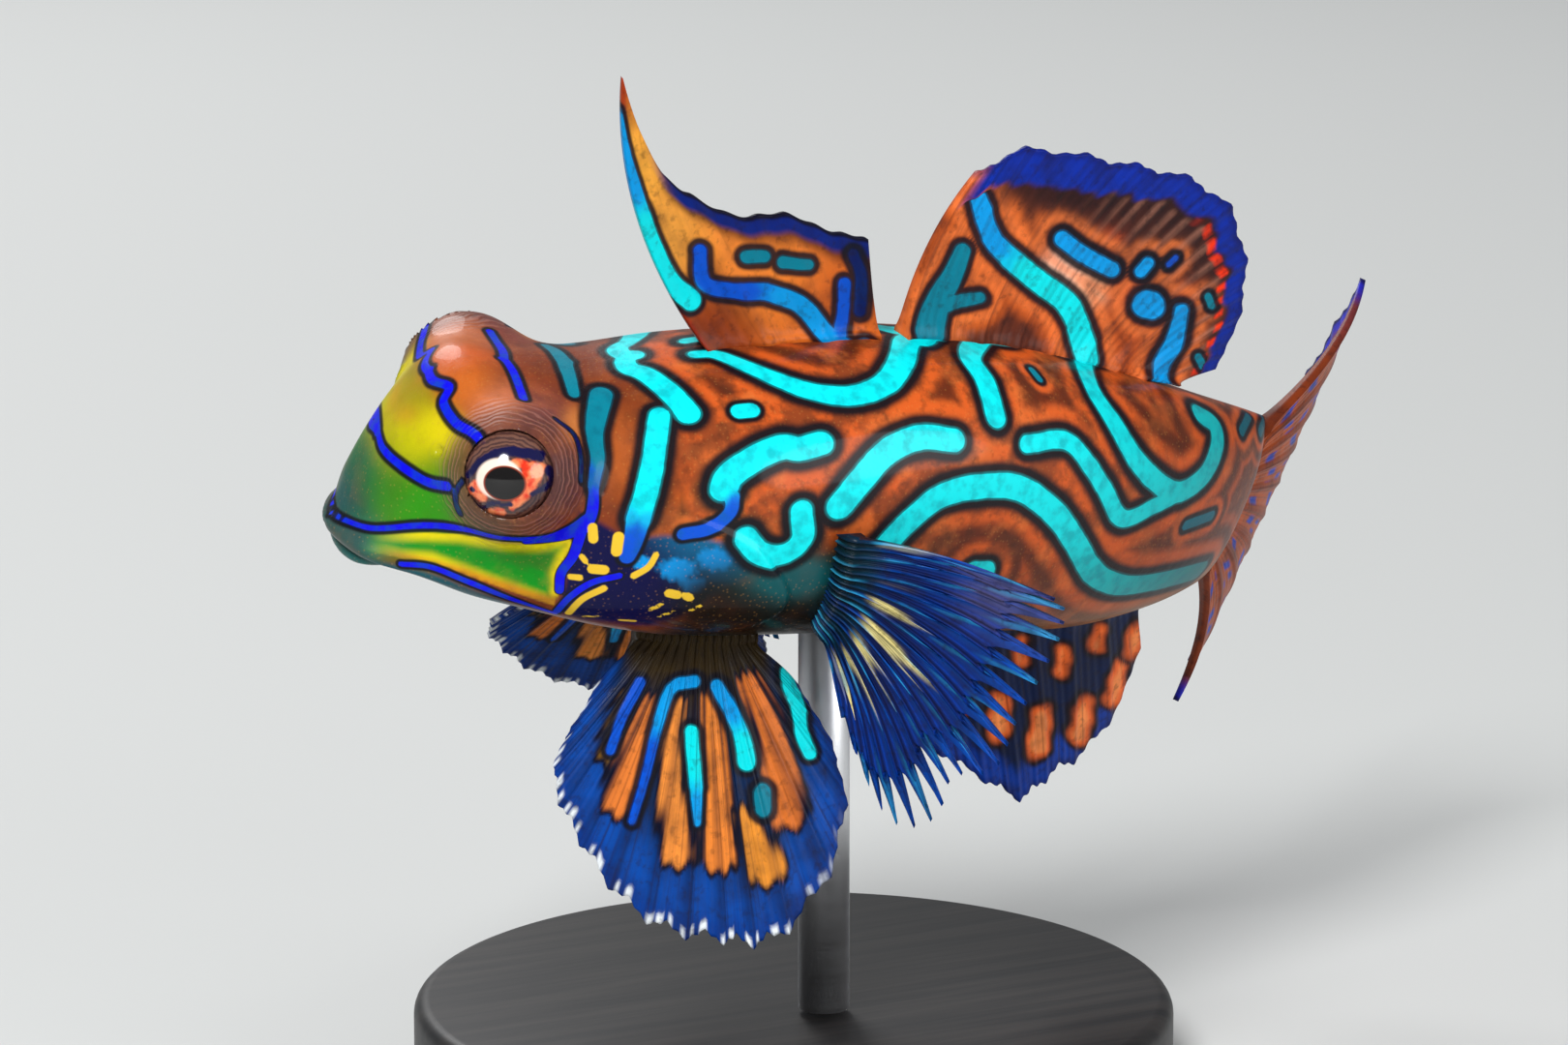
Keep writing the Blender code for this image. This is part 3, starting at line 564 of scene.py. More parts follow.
GROUND_SPOTS = [
    # colour as seen on a screen, pixel, spread in pixels, weight
    ((4, 76, 80), (348, 512), 26, 6.0), ((4, 92, 70), (372, 480), 20, 3.0), ((16, 112, 84),
    (362, 558), 22, 5.0), ((48, 124, 34), (392, 500), 30, 2.4), ((30, 146, 10), (440, 524), 34, 3.0),
    ((20, 84, 40), (500, 545), 24, 1.0), ((190, 186, 8), (424, 452), 26, 3.4), ((226, 206, 14),
    (452, 448), 18, 3.0), ((150, 140, 16), (424, 410), 20, 1.6), ((206, 130, 34), (404, 380), 20, 1.6),
    ((140, 150, 12), (400, 470), 16, 1.6), ((110, 140, 16), (450, 476), 16, 1.4), ((206, 104, 40),
    (420, 430), 12, 1.0), ((206, 92, 40), (470, 352), 30, 2.0), ((196, 100, 34), (480, 398), 22, 2.2),
    ((206, 116, 76), (512, 424), 20, 2.0), ((126, 66, 60), (560, 436), 20, 2.0), ((84, 50, 62),
    (580, 490), 20, 2.0), ((122, 84, 60), (490, 520), 20, 1.6), ((214, 128, 62), (592, 440), 14, 1.0),
    ((168, 84, 36), (640, 470), 30, 1.6), ((190, 88, 36), (960, 410), 50, 1.0), ((108, 52, 26),
    (730, 430), 60, 1.2), ((176, 80, 44), (1060, 430), 50, 1.0), ((120, 50, 28), (1190, 440), 60, 1.0),
    ((112, 50, 26), (1000, 540), 50, 1.0), ((190, 84, 34), (1120, 625), 50, 1.2), ((140, 58, 28),
    # the dark brown spots low on the flank, from (830, 610) on, are the skin's brown with painted shade where the
    # body turns under
    (1200, 560), 40, 1.0), ((60, 62, 24), (740, 530), 34, 1.8), ((52, 40, 14), (830, 610), 55, 3.0),
    ((44, 34, 14), (880, 640), 45, 2.0), ((70, 40, 16), (960, 640), 50, 1.5),
]
GROUND_PLAIN = (122, 54, 26)
PLAIN_WEIGHT = 0.25
CHIN_LINE = [(330, 560), (380, 574), (445, 590), (483, 604), (525, 620), (573, 637), (640, 650)]
CHEEK_FLOOR = [(380, 566), (480, 590), (580, 622)]
TRUNK, BELLY, TAIL = (13.0, 16.0), (14, 20), (31.0, 50.0)
BODY_COATS = [
    # colour, strength, and the measures that bound the coat: where each ends and where it is full
    # deep brown between the stripes, orange beside them, the pale belly and the throat
    ((86, 38, 22), 0.92, ("stripe", 2.5, 3.7), ("s", *TRUNK)),
    ((214, 92, 36), 0.85, ("glow",), ("s", *TRUNK)),
    ((150, 104, 62), 1.0, ("down", 138, 165), ("s", *BELLY)),
    ((8, 84, 96), 1.0, ("chin", -2, 7), ("s", 19, 14)),
]
GLOWS = [
    # strength, distance from the stripe and width of the two orange glows beside it
    (1.0, 2.2, 0.9),
    (0.7, 5.8, 0.8),
]
GILL_COLOUR = (4, 6, 62)
GILL_COATS = [((10, 96, 138), 1.0, ("slant", 650, 740))]
GILL_SLANT, GILL_LEVEL, GILL_BORDER, GILL_END = 0.9, 570, (0.15, -0.25), 24
GILL_PATCHES = [
    # pixel, spread in pixels of the pale blue patches on the gill cover
    ((700, 588), (20, 12)), ((738, 577), (18, 12)), ((716, 604), (14, 8)), ((664, 582), (10, 8)),
]
GILL_PATCH_COATS = [((6, 142, 216), 1.0, ("patch", 1.15, 0.70))]
GILL_WAVES = [(0.12, (0.55, 0.4), 0)]
GILL_RIM_COATS = [((206, 132, 74), 0.8, ("gill_rim",), ("x", 752, 776))]
GILL_RIM_AT, GILL_RIM_WIDTH = -0.10, 0.16
FLANK_SHADOWS_AND_TEAL = [
    # painted shadow low on the flank where the body turns under, with a dark teal patch of the skin's own colour:
    # colour, pixel, spread in pixels along and across
    ((30, 36, 22), (852, 622), (84, 54)),
    ((24, 20, 14), (745, 644), (100, 46)),
    ((12, 84, 88), (818, 596), (40, 18)),
]
FLANK_FORCE, FLANK_MOST = 2.0, 0.95
CHEEK_COLOUR, CHEEK_BORDER, CHEEK_END = (12, 140, 30), (0.05, -0.05), 17
CHEEK_RIM, CHEEK_RIM_BORDER = (222, 206, 8), (-0.65, -0.15)
CHEEK_RIM_COATS = [((206, 140, 20), 1.0, ("cheek_floor", -8, 2))]
CHEEK_COATS = [((24, 130, 70), 1.0, ("x", 440, 372))]
FACE_COATS = [
    # under the head, lower lip, upper lip and the dark skin round the eye
    ((8, 84, 96), 1.0, ("down", 134, 150), ("s", 20, 15)),
    ((20, 96, 92), 1.0, ("s", 2.2, 1.0), ("z", -1.0, -1.6)),
    ((52, 82, 78), 1.0, ("s", 1.8, 0.8), ("z", -1.9, -1.5), ("z", 0.2, -0.4)),
    ((86, 56, 52), 0.75, ("eye_ring", 3.6, 2.6)),
]
TAIL_SHADE, UNDER_SHADE, GROUND_SHADE, LOW_SIDE = 0.60, 0.25, 0.45, (95, 125)
FACE_MOTTLE, HEAD_MOTTLE, TRUNK_MOTTLE = 0.12, 0.23, 0.65
HEAD_MOTTLED, TRUNK_MOTTLED = (4.0, 9.0), (12.0, 17.0)
FAR_SIDE_WAVES = [
    # how far the far side's markings are bent along and up: height, pace along, beside and up, start
    (0.45, (0.3, 0.0, 0.9), 0.0),
    (0.45, (0.55, 0.0, 0.0), 1.0),
]
FAR_BEND_SIDE, FAR_BEND_S = (0.3, 2.5), (8.0, 13.0)
LINE_RUN, MIDLINE_ROOM, TAIL_END_LEVEL = 0.14, 1.2, -0.4
FAR_OFF, YELLOW_REACH, EYE_BACK = 9.0, 3.0, -0.8
SKIN_RUST, SKIN_UMBER, SKIN_DUST = (0.68, 0.17, 0.035, 1), (0.085, 0.022, 0.008, 1), (0.03, 0.010, 0.004, 1)
SKIN_FOLD, SKIN_SPECK = (0.42, 0.17, 0.13, 1), (0.55, 0.26, 0.06, 1)
SKIN_BLACK, SKIN_SHINE, SKIN_YELLOW = (0.003, 0.003, 0.006, 1), (0.0, 0.10, 0.16, 1), (0.80, 0.50, 0.03, 1)
RIM_DARK, RIM_COLOUR, RIM_MOST = 0.70, (0.0, 0.004, 0.016, 1), 0.75
# clouds of paint: the noise's scale and detail, where they begin and are full, their strength
RUST_CLOUDS, UMBER_CLOUDS = (480.0, 4.0, 0.50, 0.66, 0.40), (600.0, 5.0, 0.45, 0.62, 0.68)
DUST_CLOUDS, SHINE_CLOUDS = (2200.0, 4.0, 0.50, 0.68, 0.35), (1500.0, 6.0, 0.40, 0.72, 0.42)
# where a stripe's black, its dark rim and its bright middle begin and are full; the black's strength
SKIN_EDGES = (1.70, 0.80, 0.97), (0.40, 0.08), (0.06, -0.04)
EDGE_SCALE, EDGE_WAVER = 1100.0, 0.12
FOLD_PACE, FOLDS_OUTER, FOLDS_INNER = 34.0, (3.9, 3.0), (2.2, 2.5)


def tone(colour):
    """A colour as seen on a screen, 0 to 255, as the linear values that a material takes."""
    return (np.asarray(colour, float) / 255) ** 2.2


def fade(x, low, high):
    """0 below low and 1 above high, smooth between; low may be the larger one."""
    t = np.clip((x - low) / (high - low), 0, 1)
    return t * t * (3 - 2 * t)


def laid(ground, share, colour):
    """A colour laid over a ground: 1 - share of the ground stays, and share of the colour is added."""
    share = np.clip(share, 0, 1).reshape(-1, 1)
    return ground * (1 - share) + colour * share


def coated(ground, rows, measures):
    """Coats laid over a ground one after another, from a table of them.

    A coat's share is its strength times the fade of each of its measures, or times the measure
    itself where no ends are given.
    """
    for colour, strength, *bounds in rows:
        share = strength
        for name, *ends in bounds:
            share = share * (fade(measures[name], *ends) if ends else measures[name])
        ground = laid(ground, share, tone(colour))
    return ground


def waves(points, rows):
    """A sum of waves over points: each row's height times the sine of its start plus its pace times the place."""
    return sum(height * np.sin(points @ np.array(pace) + start) for height, pace, start in rows)


def thread(pixels, step=3.0):
    """A smooth line through a few pixels: a cubic through each four neighbours in turn."""
    p = np.asarray(pixels, float)
    p = np.vstack([2 * p[0] - p[1], p, 2 * p[-1] - p[-2]])
    pieces = []
    for a, b, c, d in zip(p[:-3], p[1:-2], p[2:-1], p[3:]):
        t = np.linspace(0, 1, max(2, int(np.linalg.norm(c - b) / step)), endpoint=False)[:, None]
        pieces.append(0.5 * (2 * b + (c - a) * t + (2 * a - 5 * b + 4 * c - d) * t**2
                             + (3 * b - a - 3 * c + d) * t**3))
    return np.vstack(pieces + [p[-2:-1]])


def beside(points, line, width, reach=3.0):
    """How far points lie outside a drawn line, in mm; below 0 they are on it.

    line is a chain of points and width its two end widths. Past the reach it is only far away.
    """
    out = np.full(len(points), reach)
    half = np.linspace(width[0], width[1], len(line)) / 2
    near = np.all((points > line.min(0) - reach) & (points < line.max(0) + reach), 1)
    close = points[near]
    best = np.full(len(close), reach)
    for a, b, at_a, at_b in zip(line[:-1], line[1:], half[:-1], half[1:]):
        way = b - a
        t = np.clip((close - a) @ way / max(way @ way, 1e-9), 0, 1)
        away = np.sqrt(((close - a - t[:, None] * way) ** 2).sum(1))
        best = np.minimum(best, away - at_a - (at_b - at_a) * t)
    out[near] = best
    return out


def drawn(points, lines, thrown):
    """Distance to the nearest of several drawn lines, in widths of its black edge; below 0 on the line.

    thrown turns a line's pixels into places comparable with the points. The second value is the
    lines' colour; where two lines meet, one colour runs into the other by an exponential of their
    distances.
    """
    away = np.stack([beside(points, thrown(thread(line[-1])), line[1:3]) for line in lines])
    edges = np.array([line[3] for line in lines])[:, None]
    share = np.exp(-(away - away.min(0)) / LINE_RUN)
    return (away / edges).min(0), (share / share.sum(0)).T @ np.array([tone(line[0]) for line in lines])


def outside(pixels, outline):
    """How many mm a pixel lies outside a closed outline of pixels; below 0 it is inside."""
    corners = np.asarray(outline, float)
    best, inside = np.full(len(pixels), 1e9), np.zeros(len(pixels), bool)
    for a, b in zip(corners, np.roll(corners, -1, 0)):
        t = np.clip((pixels - a) @ (b - a) / ((b - a) @ (b - a)), 0, 1)
        best = np.minimum(best, ((pixels - a - t[:, None] * (b - a)) ** 2).sum(1))
        crosses = (a[1] > pixels[:, 1]) != (b[1] > pixels[:, 1])
        edge_x = a[0] + (pixels[:, 1] - a[1]) * (b[0] - a[0]) / (b[1] - a[1] + 1e-9)
        inside ^= crosses & (pixels[:, 0] < edge_x)
    return np.where(inside, -1, 1) * np.sqrt(best) / PIXELS_PER_MM


def give(piece, **values):
    """Adds one value or colour for each vertex to a piece's mesh."""
    for name, value in values.items():
        if value.ndim == 1:
            layer = piece.data.attributes.new(name, "FLOAT", "POINT")
            layer.data.foreach_set("value", value.astype(np.float32))
        else:
            layer = piece.data.attributes.new(name, "FLOAT_COLOR", "POINT")
            rgba = np.column_stack([value, np.ones(len(value))]).astype(np.float32)
            layer.data.foreach_set("color", rgba.ravel())


def blend_spots(pixels, spots, plain):
    """A ground colour at each pixel: soft patches of paint over a plain coat.

    It is the mean of the colours, each weighted by its weight times a bell curve round its pixel.
    """
    total, colour = np.full(len(pixels), PLAIN_WEIGHT), PLAIN_WEIGHT * np.tile(tone(plain), (len(pixels), 1))
    for shade, at, spread, weight in spots:
        share = weight * np.exp(-((pixels - np.array(at)) ** 2).sum(1) / spread**2)
        total += share
        colour += share[:, None] * tone(shade)
    return colour / total[:, None]


laid_flat = np.concatenate([[[0.0, 0.0, SECTIONS[0][4]]], np.stack([skin_s, skin_side, skin_z], -1).reshape(-1, 3),
                            [[BODY_LENGTH, 0.0, TAIL_END_LEVEL]]])
near_skin = BVHTree.FromObject(body, bpy.context.evaluated_depsgraph_get())


def on_skin(pixels):
    """Places on the skin, laid straight, under the pixels of a drawn line."""
    places = []
    for pixel in pixels:
        way = sight(pixel)
        hit = near_skin.ray_cast(Vector(EYE_POINT * MM), Vector(way))[0]
        if hit is None:
            beyond = EYE_POINT + way * (CAMERA_DISTANCE if not places else np.linalg.norm(last - EYE_POINT))
            hit = near_skin.find_nearest(Vector(beyond * MM))[0]
        last = np.array(hit) / MM
        corner = np.argmin(((body_world - last) ** 2).sum(1))
        s = laid_flat[corner, 0]
        off = last - body_world[corner]
        places.append(laid_flat[corner] + np.array([off @ along(s, 2), off @ along(s, 3), off @ along(s, 4)]))
    return np.array(places)


def on_near_side(pixels):
    """The same for the near side alone: a place a little past the middle of the back is put on it."""
    places = on_skin(pixels)
    places = places[places[:, 1] < MIDLINE_ROOM]
    return np.column_stack([places[:, 0], np.minimum(places[:, 1], 0), places[:, 2]])


s, side, z = laid_flat.T
bend = fade(np.abs(side), *FAR_BEND_SIDE) * fade(s, *FAR_BEND_S) * (side > 0)
bend_s, bend_z = (bend * waves(laid_flat, [row]) for row in FAR_SIDE_WAVES)
pattern = np.stack([s + bend_s, -np.abs(side), z + bend_z], -1)
pixels = to_pixel(place(*pattern.T))
x, y = pixels.T
stripe, tint = drawn(pattern, BODY_LINES, on_near_side)
snout_stripe, snout_tint = drawn(laid_flat, SNOUT_LINES, on_skin)
tint = np.where((snout_stripe < stripe)[:, None], snout_tint, tint)
stripe = np.minimum(stripe, snout_stripe)
yellow = np.full(len(pattern), YELLOW_REACH)
for start, end, line in YELLOW_LINES:
    yellow = np.minimum(yellow, beside(pattern, on_near_side(thread(line)), (start, end)))
cheek = np.where(s < CHEEK_END, outside(pixels, CHEEK_OUTLINE), FAR_OFF)
gill = np.where(s < GILL_END, outside(pixels, GILL_OUTLINE), FAR_OFF)
eye_ring = np.full(len(body_world), FAR_OFF)
for hand in (-1, 1):
    centre, gaze = eye_place(hand)
    off = body_world - centre
    ahead = off @ gaze
    ring = np.linalg.norm(off - ahead[:, None] * gaze, axis=1)
    eye_ring = np.minimum(eye_ring, np.where(ahead > EYE_BACK, ring, FAR_OFF))

measures = {
    "s": s, "z": z, "x": x, "stripe": stripe, "eye_ring": eye_ring,
    "down": np.degrees(np.arccos(np.clip(z / np.maximum(np.hypot(side, z), 1e-3), -1, 1))),
    "glow": np.max([force * bump((stripe - at) / width) for force, at, width in GLOWS], axis=0),
    "chin": y - np.interp(x, *np.array(CHIN_LINE).T),
    "cheek_floor": y - np.interp(x, *np.array(CHEEK_FLOOR).T),
    "slant": x - GILL_SLANT * (y - GILL_LEVEL),
    "gill_rim": bump((gill - GILL_RIM_AT) / GILL_RIM_WIDTH),
}
ground = coated(blend_spots(pixels, GROUND_SPOTS, GROUND_PLAIN), BODY_COATS, measures)
flap = coated(tone(GILL_COLOUR), GILL_COATS, measures)
for at, spread in GILL_PATCHES:
    measures["patch"] = np.hypot(*((pixels - at) / spread).T) + waves(pixels, GILL_WAVES)
    flap = coated(flap, GILL_PATCH_COATS, measures)
in_gill = fade(gill, *GILL_BORDER)
ground = coated(laid(ground, in_gill, flap), GILL_RIM_COATS, measures)
# painted shadow low on the flank where the body turns under, with one dark teal patch of skin colour; the mottling
# is held back under them
flank_shadow_and_teal = 0.0
for shade, at, spread in FLANK_SHADOWS_AND_TEAL:
    near = FLANK_FORCE * np.exp(-(((pixels - at) / spread) ** 2).sum(1))
    share = np.clip(near, 0, FLANK_MOST) * fade(s, *TRUNK)
    ground = laid(ground, share, tone(shade))
    flank_shadow_and_teal = np.maximum(flank_shadow_and_teal, share)
rim = coated(tone(CHEEK_RIM), CHEEK_RIM_COATS, measures)
band = coated(laid(tone(CHEEK_COLOUR), fade(cheek, *CHEEK_RIM_BORDER), rim), CHEEK_COATS, measures)
ground = coated(laid(ground, fade(cheek, *CHEEK_BORDER), band), FACE_COATS, measures)
low_side = fade(measures["down"], *LOW_SIDE) * fade(s, *BELLY)
light = 1 - TAIL_SHADE * fade(s, *TAIL) - UNDER_SHADE * low_side
mottled = FACE_MOTTLE + HEAD_MOTTLE * fade(s, *HEAD_MOTTLED) + TRUNK_MOTTLE * fade(s, *TRUNK_MOTTLED)
mottled = mottled * light * (1 - np.maximum(in_gill, flank_shadow_and_teal))
give(body, stripe=stripe, yellow=yellow, eye_ring=eye_ring, mottled=mottled, tint=tint * light[:, None],
     ground=ground * (1 - GROUND_SHADE + GROUND_SHADE * light[:, None]))


def striped(paint, coat, edge, shine, black, black_at, rim_at, bright_at):
    """Stripes over a coat: a black edge, then a dark blue rim, then the bright middle.

    Each begins and is full at two distances from the stripe, in widths of its black edge.
    """
    return paint.coats(coat, (paint.step(edge, *black_at), black),
                       (paint.step(edge, *rim_at, RIM_MOST), paint.mix(RIM_DARK, shine, RIM_COLOUR)),
                       (paint.step(edge, *bright_at), shine))


hide = Paint("fish_skin", Roughness=0.42, Specular_IOR_Level=0.12, Coat_Weight=0.17, Coat_Roughness=0.07)
patchy, ring = hide.value("mottled"), hide.value("eye_ring")
wander = hide.math("ADD", ring, hide.times(hide.noise(700.0, 2.0), 0.5))
folds = hide.times(hide.math("SINE", hide.times(wander, FOLD_PACE)),
                   hide.times(hide.step(ring, *FOLDS_OUTER), hide.step(ring, *FOLDS_INNER)))
coat = hide.coats(hide.value("ground", "Color"),
                  (hide.times(hide.clouds(*RUST_CLOUDS), patchy), SKIN_RUST),
                  (hide.times(hide.clouds(*UMBER_CLOUDS), patchy), SKIN_UMBER),
                  (hide.step(folds, 0.30, 0.95, 0.42), SKIN_FOLD),
                  (hide.times(hide.clouds(*DUST_CLOUDS), patchy), SKIN_DUST),
                  (hide.step(hide.cells(4200.0), 0.30, 0.10, 0.16), SKIN_SPECK))
shine = hide.mix(hide.clouds(*SHINE_CLOUDS), hide.value("tint", "Color"), SKIN_SHINE)
coat = striped(hide, coat, hide.uneven("stripe", EDGE_SCALE, EDGE_WAVER), shine, SKIN_BLACK, *SKIN_EDGES)
grain = hide.bump(hide.noise(9000.0, 3.0), 0.00002, 0.5)
grain = hide.bump(hide.noise(1400.0, 4.0), 0.00010, 0.35, grain)
hide.finish(Base_Color=hide.mix(hide.step(hide.value("yellow"), 0.03, -0.04), coat, SKIN_YELLOW),
            Normal=hide.bump(folds, 0.00002, 0.7, grain))
hide.on(body)
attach(body, "root")
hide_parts("head", "torso", "tail")

# The rod is a ground steel pin with a satin finish, standing in a hole in the base. Its top is cut
# to the slope of the belly and takes the fish's weight there, behind the pelvic fins.
GAP = 0.3
ROD_AT_S, ROD_LEVEL = 26.0, -7.0
ROD_RADIUS, ROD_CORNER, ROD_TIP, ROD_AROUND = 1.27, 0.12, 0.02, 96
STEEL = (0.74, 0.75, 0.77, 1)
rod_centre = place(ROD_AT_S, 0.0, ROD_LEVEL)[:2]
rod_turn = np.linspace(0, 2 * pi, ROD_AROUND, endpoint=False)
rings = []
for radius in (ROD_RADIUS, ROD_RADIUS - ROD_CORNER, ROD_RADIUS / 2, ROD_TIP):
    spot = rod_centre + radius * np.stack([np.cos(rod_turn), np.sin(rod_turn)], -1)
    belly = [near_skin.ray_cast(Vector((*(at * MM), 0.0)), Vector((0, 0, 1)))[0].z / MM for at in spot]
    rings.append(np.column_stack([spot, np.array(belly) - GAP]))
rings[0][:, 2] -= ROD_CORNER
foot = np.column_stack([rings[0][:, :2], np.full(ROD_AROUND, BASE_HEIGHT + GAP)])
rod = new_mesh("steel_pin", np.concatenate([foot.mean(0)[None], foot, *rings, rings[-1].mean(0)[None]]),
               *tube_faces(5, ROD_AROUND))
steel = Paint("satin_steel", Metallic=1.0, Base_Color=STEEL)
turning = steel.noise(1.0, 2.0, steel.where((300, 300, 30000)))
steel.finish(Roughness=steel.math("ADD", steel.times(turning, 0.30), 0.28),
             Normal=steel.bump(turning, 0.00001, 0.4))
steel.on(rod)
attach(rod, "root")
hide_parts("stand_rod")

# The eyes are glass-clear balls that stand out of their domes and roll freely in them. A dark
# oval pupil sits in a pale ring, in an oval iris of orange-red lobes and dark blue bars. Outside
# the iris the ball has the ringed brown of the skin around it.
EYE_RINGS, EYE_AROUND = 110, 180
EYE_ROLL = (-0.11, -0.40)
PUPIL = (0.91, 0.75)
PALE_RING = (1.10, 0.97)
PALE_SHIFT = (-0.27, 0.19)
IRIS = (2.00, 1.45)
EYE_REDS = [
    # width at both ends, and places of the orange-red lobes towards the tail and up from the pupil
    (0.4, 0.3, [(0.45, 0.98), (1.1, 0.86), (1.62, 0.82)]),
    (0.95, 0.26, [(1.22, 0.58), (1.1, 0.08), (0.82, -0.52), (0.38, -1.08)]),
    (0.8, 0.5, [(-1.3, -0.36), (-1.05, -0.66)]),
    (0.22, 0.3, [(-0.62, -1.32), (-0.06, -1.34)]),
]
EYE_BARS = [
    # the same of the dark blue bars
    (0.3, 0.5, [(-1.74, 0.22), (-1.26, 0.86), (-0.42, 1.38), (0.53, 1.46), (1.5, 1.36)]),
    (0.4, 0.2, [(1.96, 0.72), (2.12, 0.24), (1.78, -0.12), (1.26, -0.42)]),
    (0.26, 0.18, [(-1.5, -1.06), (-1.05, -1.24), (-0.58, -0.99), (-0.24, -0.93)]),
    (0.2, 0.2, [(-1.56, -0.38), (-1.5, -0.42)]),
    (0.2, 0.18, [(0.3, -0.94), (-0.1, -1.04)]),
]
EYE_PALE_BROWN, EYE_DARK_BROWN = (0.17, 0.075, 0.052, 1), (0.070, 0.030, 0.026, 1)
EYE_SHADE, EYE_BLUE = (0.022, 0.012, 0.022, 1), (0.004, 0.004, 0.05, 1)
EYE_RED, EYE_ORANGE = (0.70, 0.03, 0.008, 1), (0.90, 0.26, 0.10, 1)
EYE_CLOUDS = (1500.0, 4.0, 0.38, 0.62)
EYE_CREAM, EYE_RUST, EYE_BLACK = (0.93, 0.76, 0.64, 1), (0.25, 0.03, 0.01, 1), (0.004, 0.003, 0.003, 1)


def oval(x, y, centre, half):
    """About how many mm a place lies outside an oval: its reach, in half axes, less 1, times the shorter one."""
    reach = np.hypot((x - centre[0]) / half[0], (y - centre[1]) / half[1])
    return (reach - 1) * min(half)


for hand, label in ((-1, "left"), (1, "right")):
    centre, gaze = eye_place(hand)
    up = along(EYE_S, 4) - (along(EYE_S, 4) @ gaze) * gaze
    up /= np.linalg.norm(up)
    fore = np.cross(gaze, up) * -hand
    fall = np.linspace(0, pi, EYE_RINGS + 2)[1:-1][:, None]
    turn = hand * np.linspace(0, 2 * pi, EYE_AROUND, endpoint=False)[None, :]
    ball = np.stack([np.cos(fall) + 0 * turn, np.sin(fall) * np.cos(turn), np.sin(fall) * np.sin(turn)], -1)
    ball = EYE_RADIUS * np.concatenate([[[1.0, 0, 0]], ball.reshape(-1, 3), [[-1.0, 0, 0]]])
    eye = new_mesh("eyeball_" + label, centre + ball @ np.stack([gaze, up, fore]),
                   *tube_faces(EYE_RINGS, EYE_AROUND))
    x, y = -ball[:, 2] - EYE_ROLL[0], ball[:, 1] - EYE_ROLL[1]
    lobes, bars = (np.min([beside(np.stack([x, y], -1), thread(line, 0.1), (start, end))
                           for start, end, line in marks], axis=0) for marks in (EYE_REDS, EYE_BARS))
    give(eye, pupil=oval(x, y, (0, 0), PUPIL), pale=oval(x, y, PALE_SHIFT, PALE_RING), lobes=lobes, bars=bars,
         iris=oval(x, y, (0, 0), IRIS), off_axis=np.hypot(x, y))
    glaze = Paint("eye_" + label + "_glaze", Roughness=0.12, Specular_IOR_Level=0.3, Coat_Weight=0.5,
                  Coat_Roughness=0.02)
    fuzz = glaze.times(glaze.math("SUBTRACT", glaze.noise(2500.0, 4.0), 0.5), 0.25)
    fuzzy = {name: glaze.math("ADD", glaze.value(name), fuzz) for name in ("off_axis", "lobes", "bars")}
    rings = glaze.math("SINE", glaze.times(fuzzy["off_axis"], FOLD_PACE))
    red = glaze.mix(glaze.clouds(*EYE_CLOUDS), EYE_RED, EYE_ORANGE)
    pupil = glaze.value("pupil")
    glaze.finish(Base_Color=glaze.coats(
        EYE_PALE_BROWN,
        (glaze.step(rings, -0.6, 0.8), EYE_DARK_BROWN),
        (glaze.step(glaze.value("iris"), 0.20, -0.30, 0.6), EYE_SHADE),
        (glaze.step(fuzzy["lobes"], 0.10, -0.06), red),
        (glaze.step(fuzzy["bars"], 0.06, -0.06), EYE_BLUE),
        (glaze.step(glaze.value("pale"), 0.05, -0.10), EYE_CREAM),
        (glaze.step(pupil, 0.10, 0.04), EYE_RUST),
        (glaze.step(pupil, 0.03, -0.02), EYE_BLACK)))
    glaze.on(eye)
    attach(eye, "root")
    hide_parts("eye_" + label)

# The first dorsal fin has four spines in an orange web with a dark blue edge. The first spine
# runs out into a long thread that bows back. Spines and web are one sheet, ridged at each spine.
MEMBRANE_HALF, MARGIN_HALF = 0.22, 0.08
RAY_RIDGE, RIDGE_FALL, FORK_RIDGE = 0.16, 0.75, 0.04
ROOT_HALF, ROOT_FADE, ROOT_EDGE = 0.30, 0.05, 0.02
ROOT_DEPTH, ROOT_STEPS = 0.08, 4
WEB_FALL, FORK_FALL, FORKS = 0.7, 0.3, 3
LEAST_BEND = 0.5
FIN_COLUMNS, COLUMNS_PER_RAY = ((120, 12))
FIN_STEPS = 96
FIN_DUSK, FIN_STREAK, FIN_DUST = (0.006, 0.004, 0.008, 1), (0.01, 0.004, 0.006, 1), (0.008, 0.004, 0.006, 1)
FIN_BLACK, FIN_SHINE = (0.003, 0.003, 0.008, 1), (0.0, 0.05, 0.12, 1)
FIN_CLOUDS, FIN_EDGES = (2500.0, 4.0, 0.52, 0.70, 0.35), ((1.6, 0.8, 0.95), (0.42, 0.10), (0.08, -0.06))
FIN_EDGE_SCALE, FIN_EDGE_WAVER = 1200.0, 0.15
FINE_RAYS, FORKED_FROM = 5, (0.35, 0.8)
FIRST_DORSAL_BASE, FIRST_DORSAL_RAYS, FIRST_DORSAL_NOTCH = (17.2, 25.8), 4, 0.07
FIRST_DORSAL_ROWS = [
    # place along the base, ray angle, bend of the ray, ray length
    (0.00, -35.0, 36.0, 14.6),
    (0.10, -34.0, 26.0, 12.0),
    (0.22, -33.0, 16.0, 9.6),
    (0.36, -31.0, 8.0, 8.0),
    (0.68, -24.0, 6.0, 6.5),
    (1.00, -18.0, 6.0, 4.8),
]
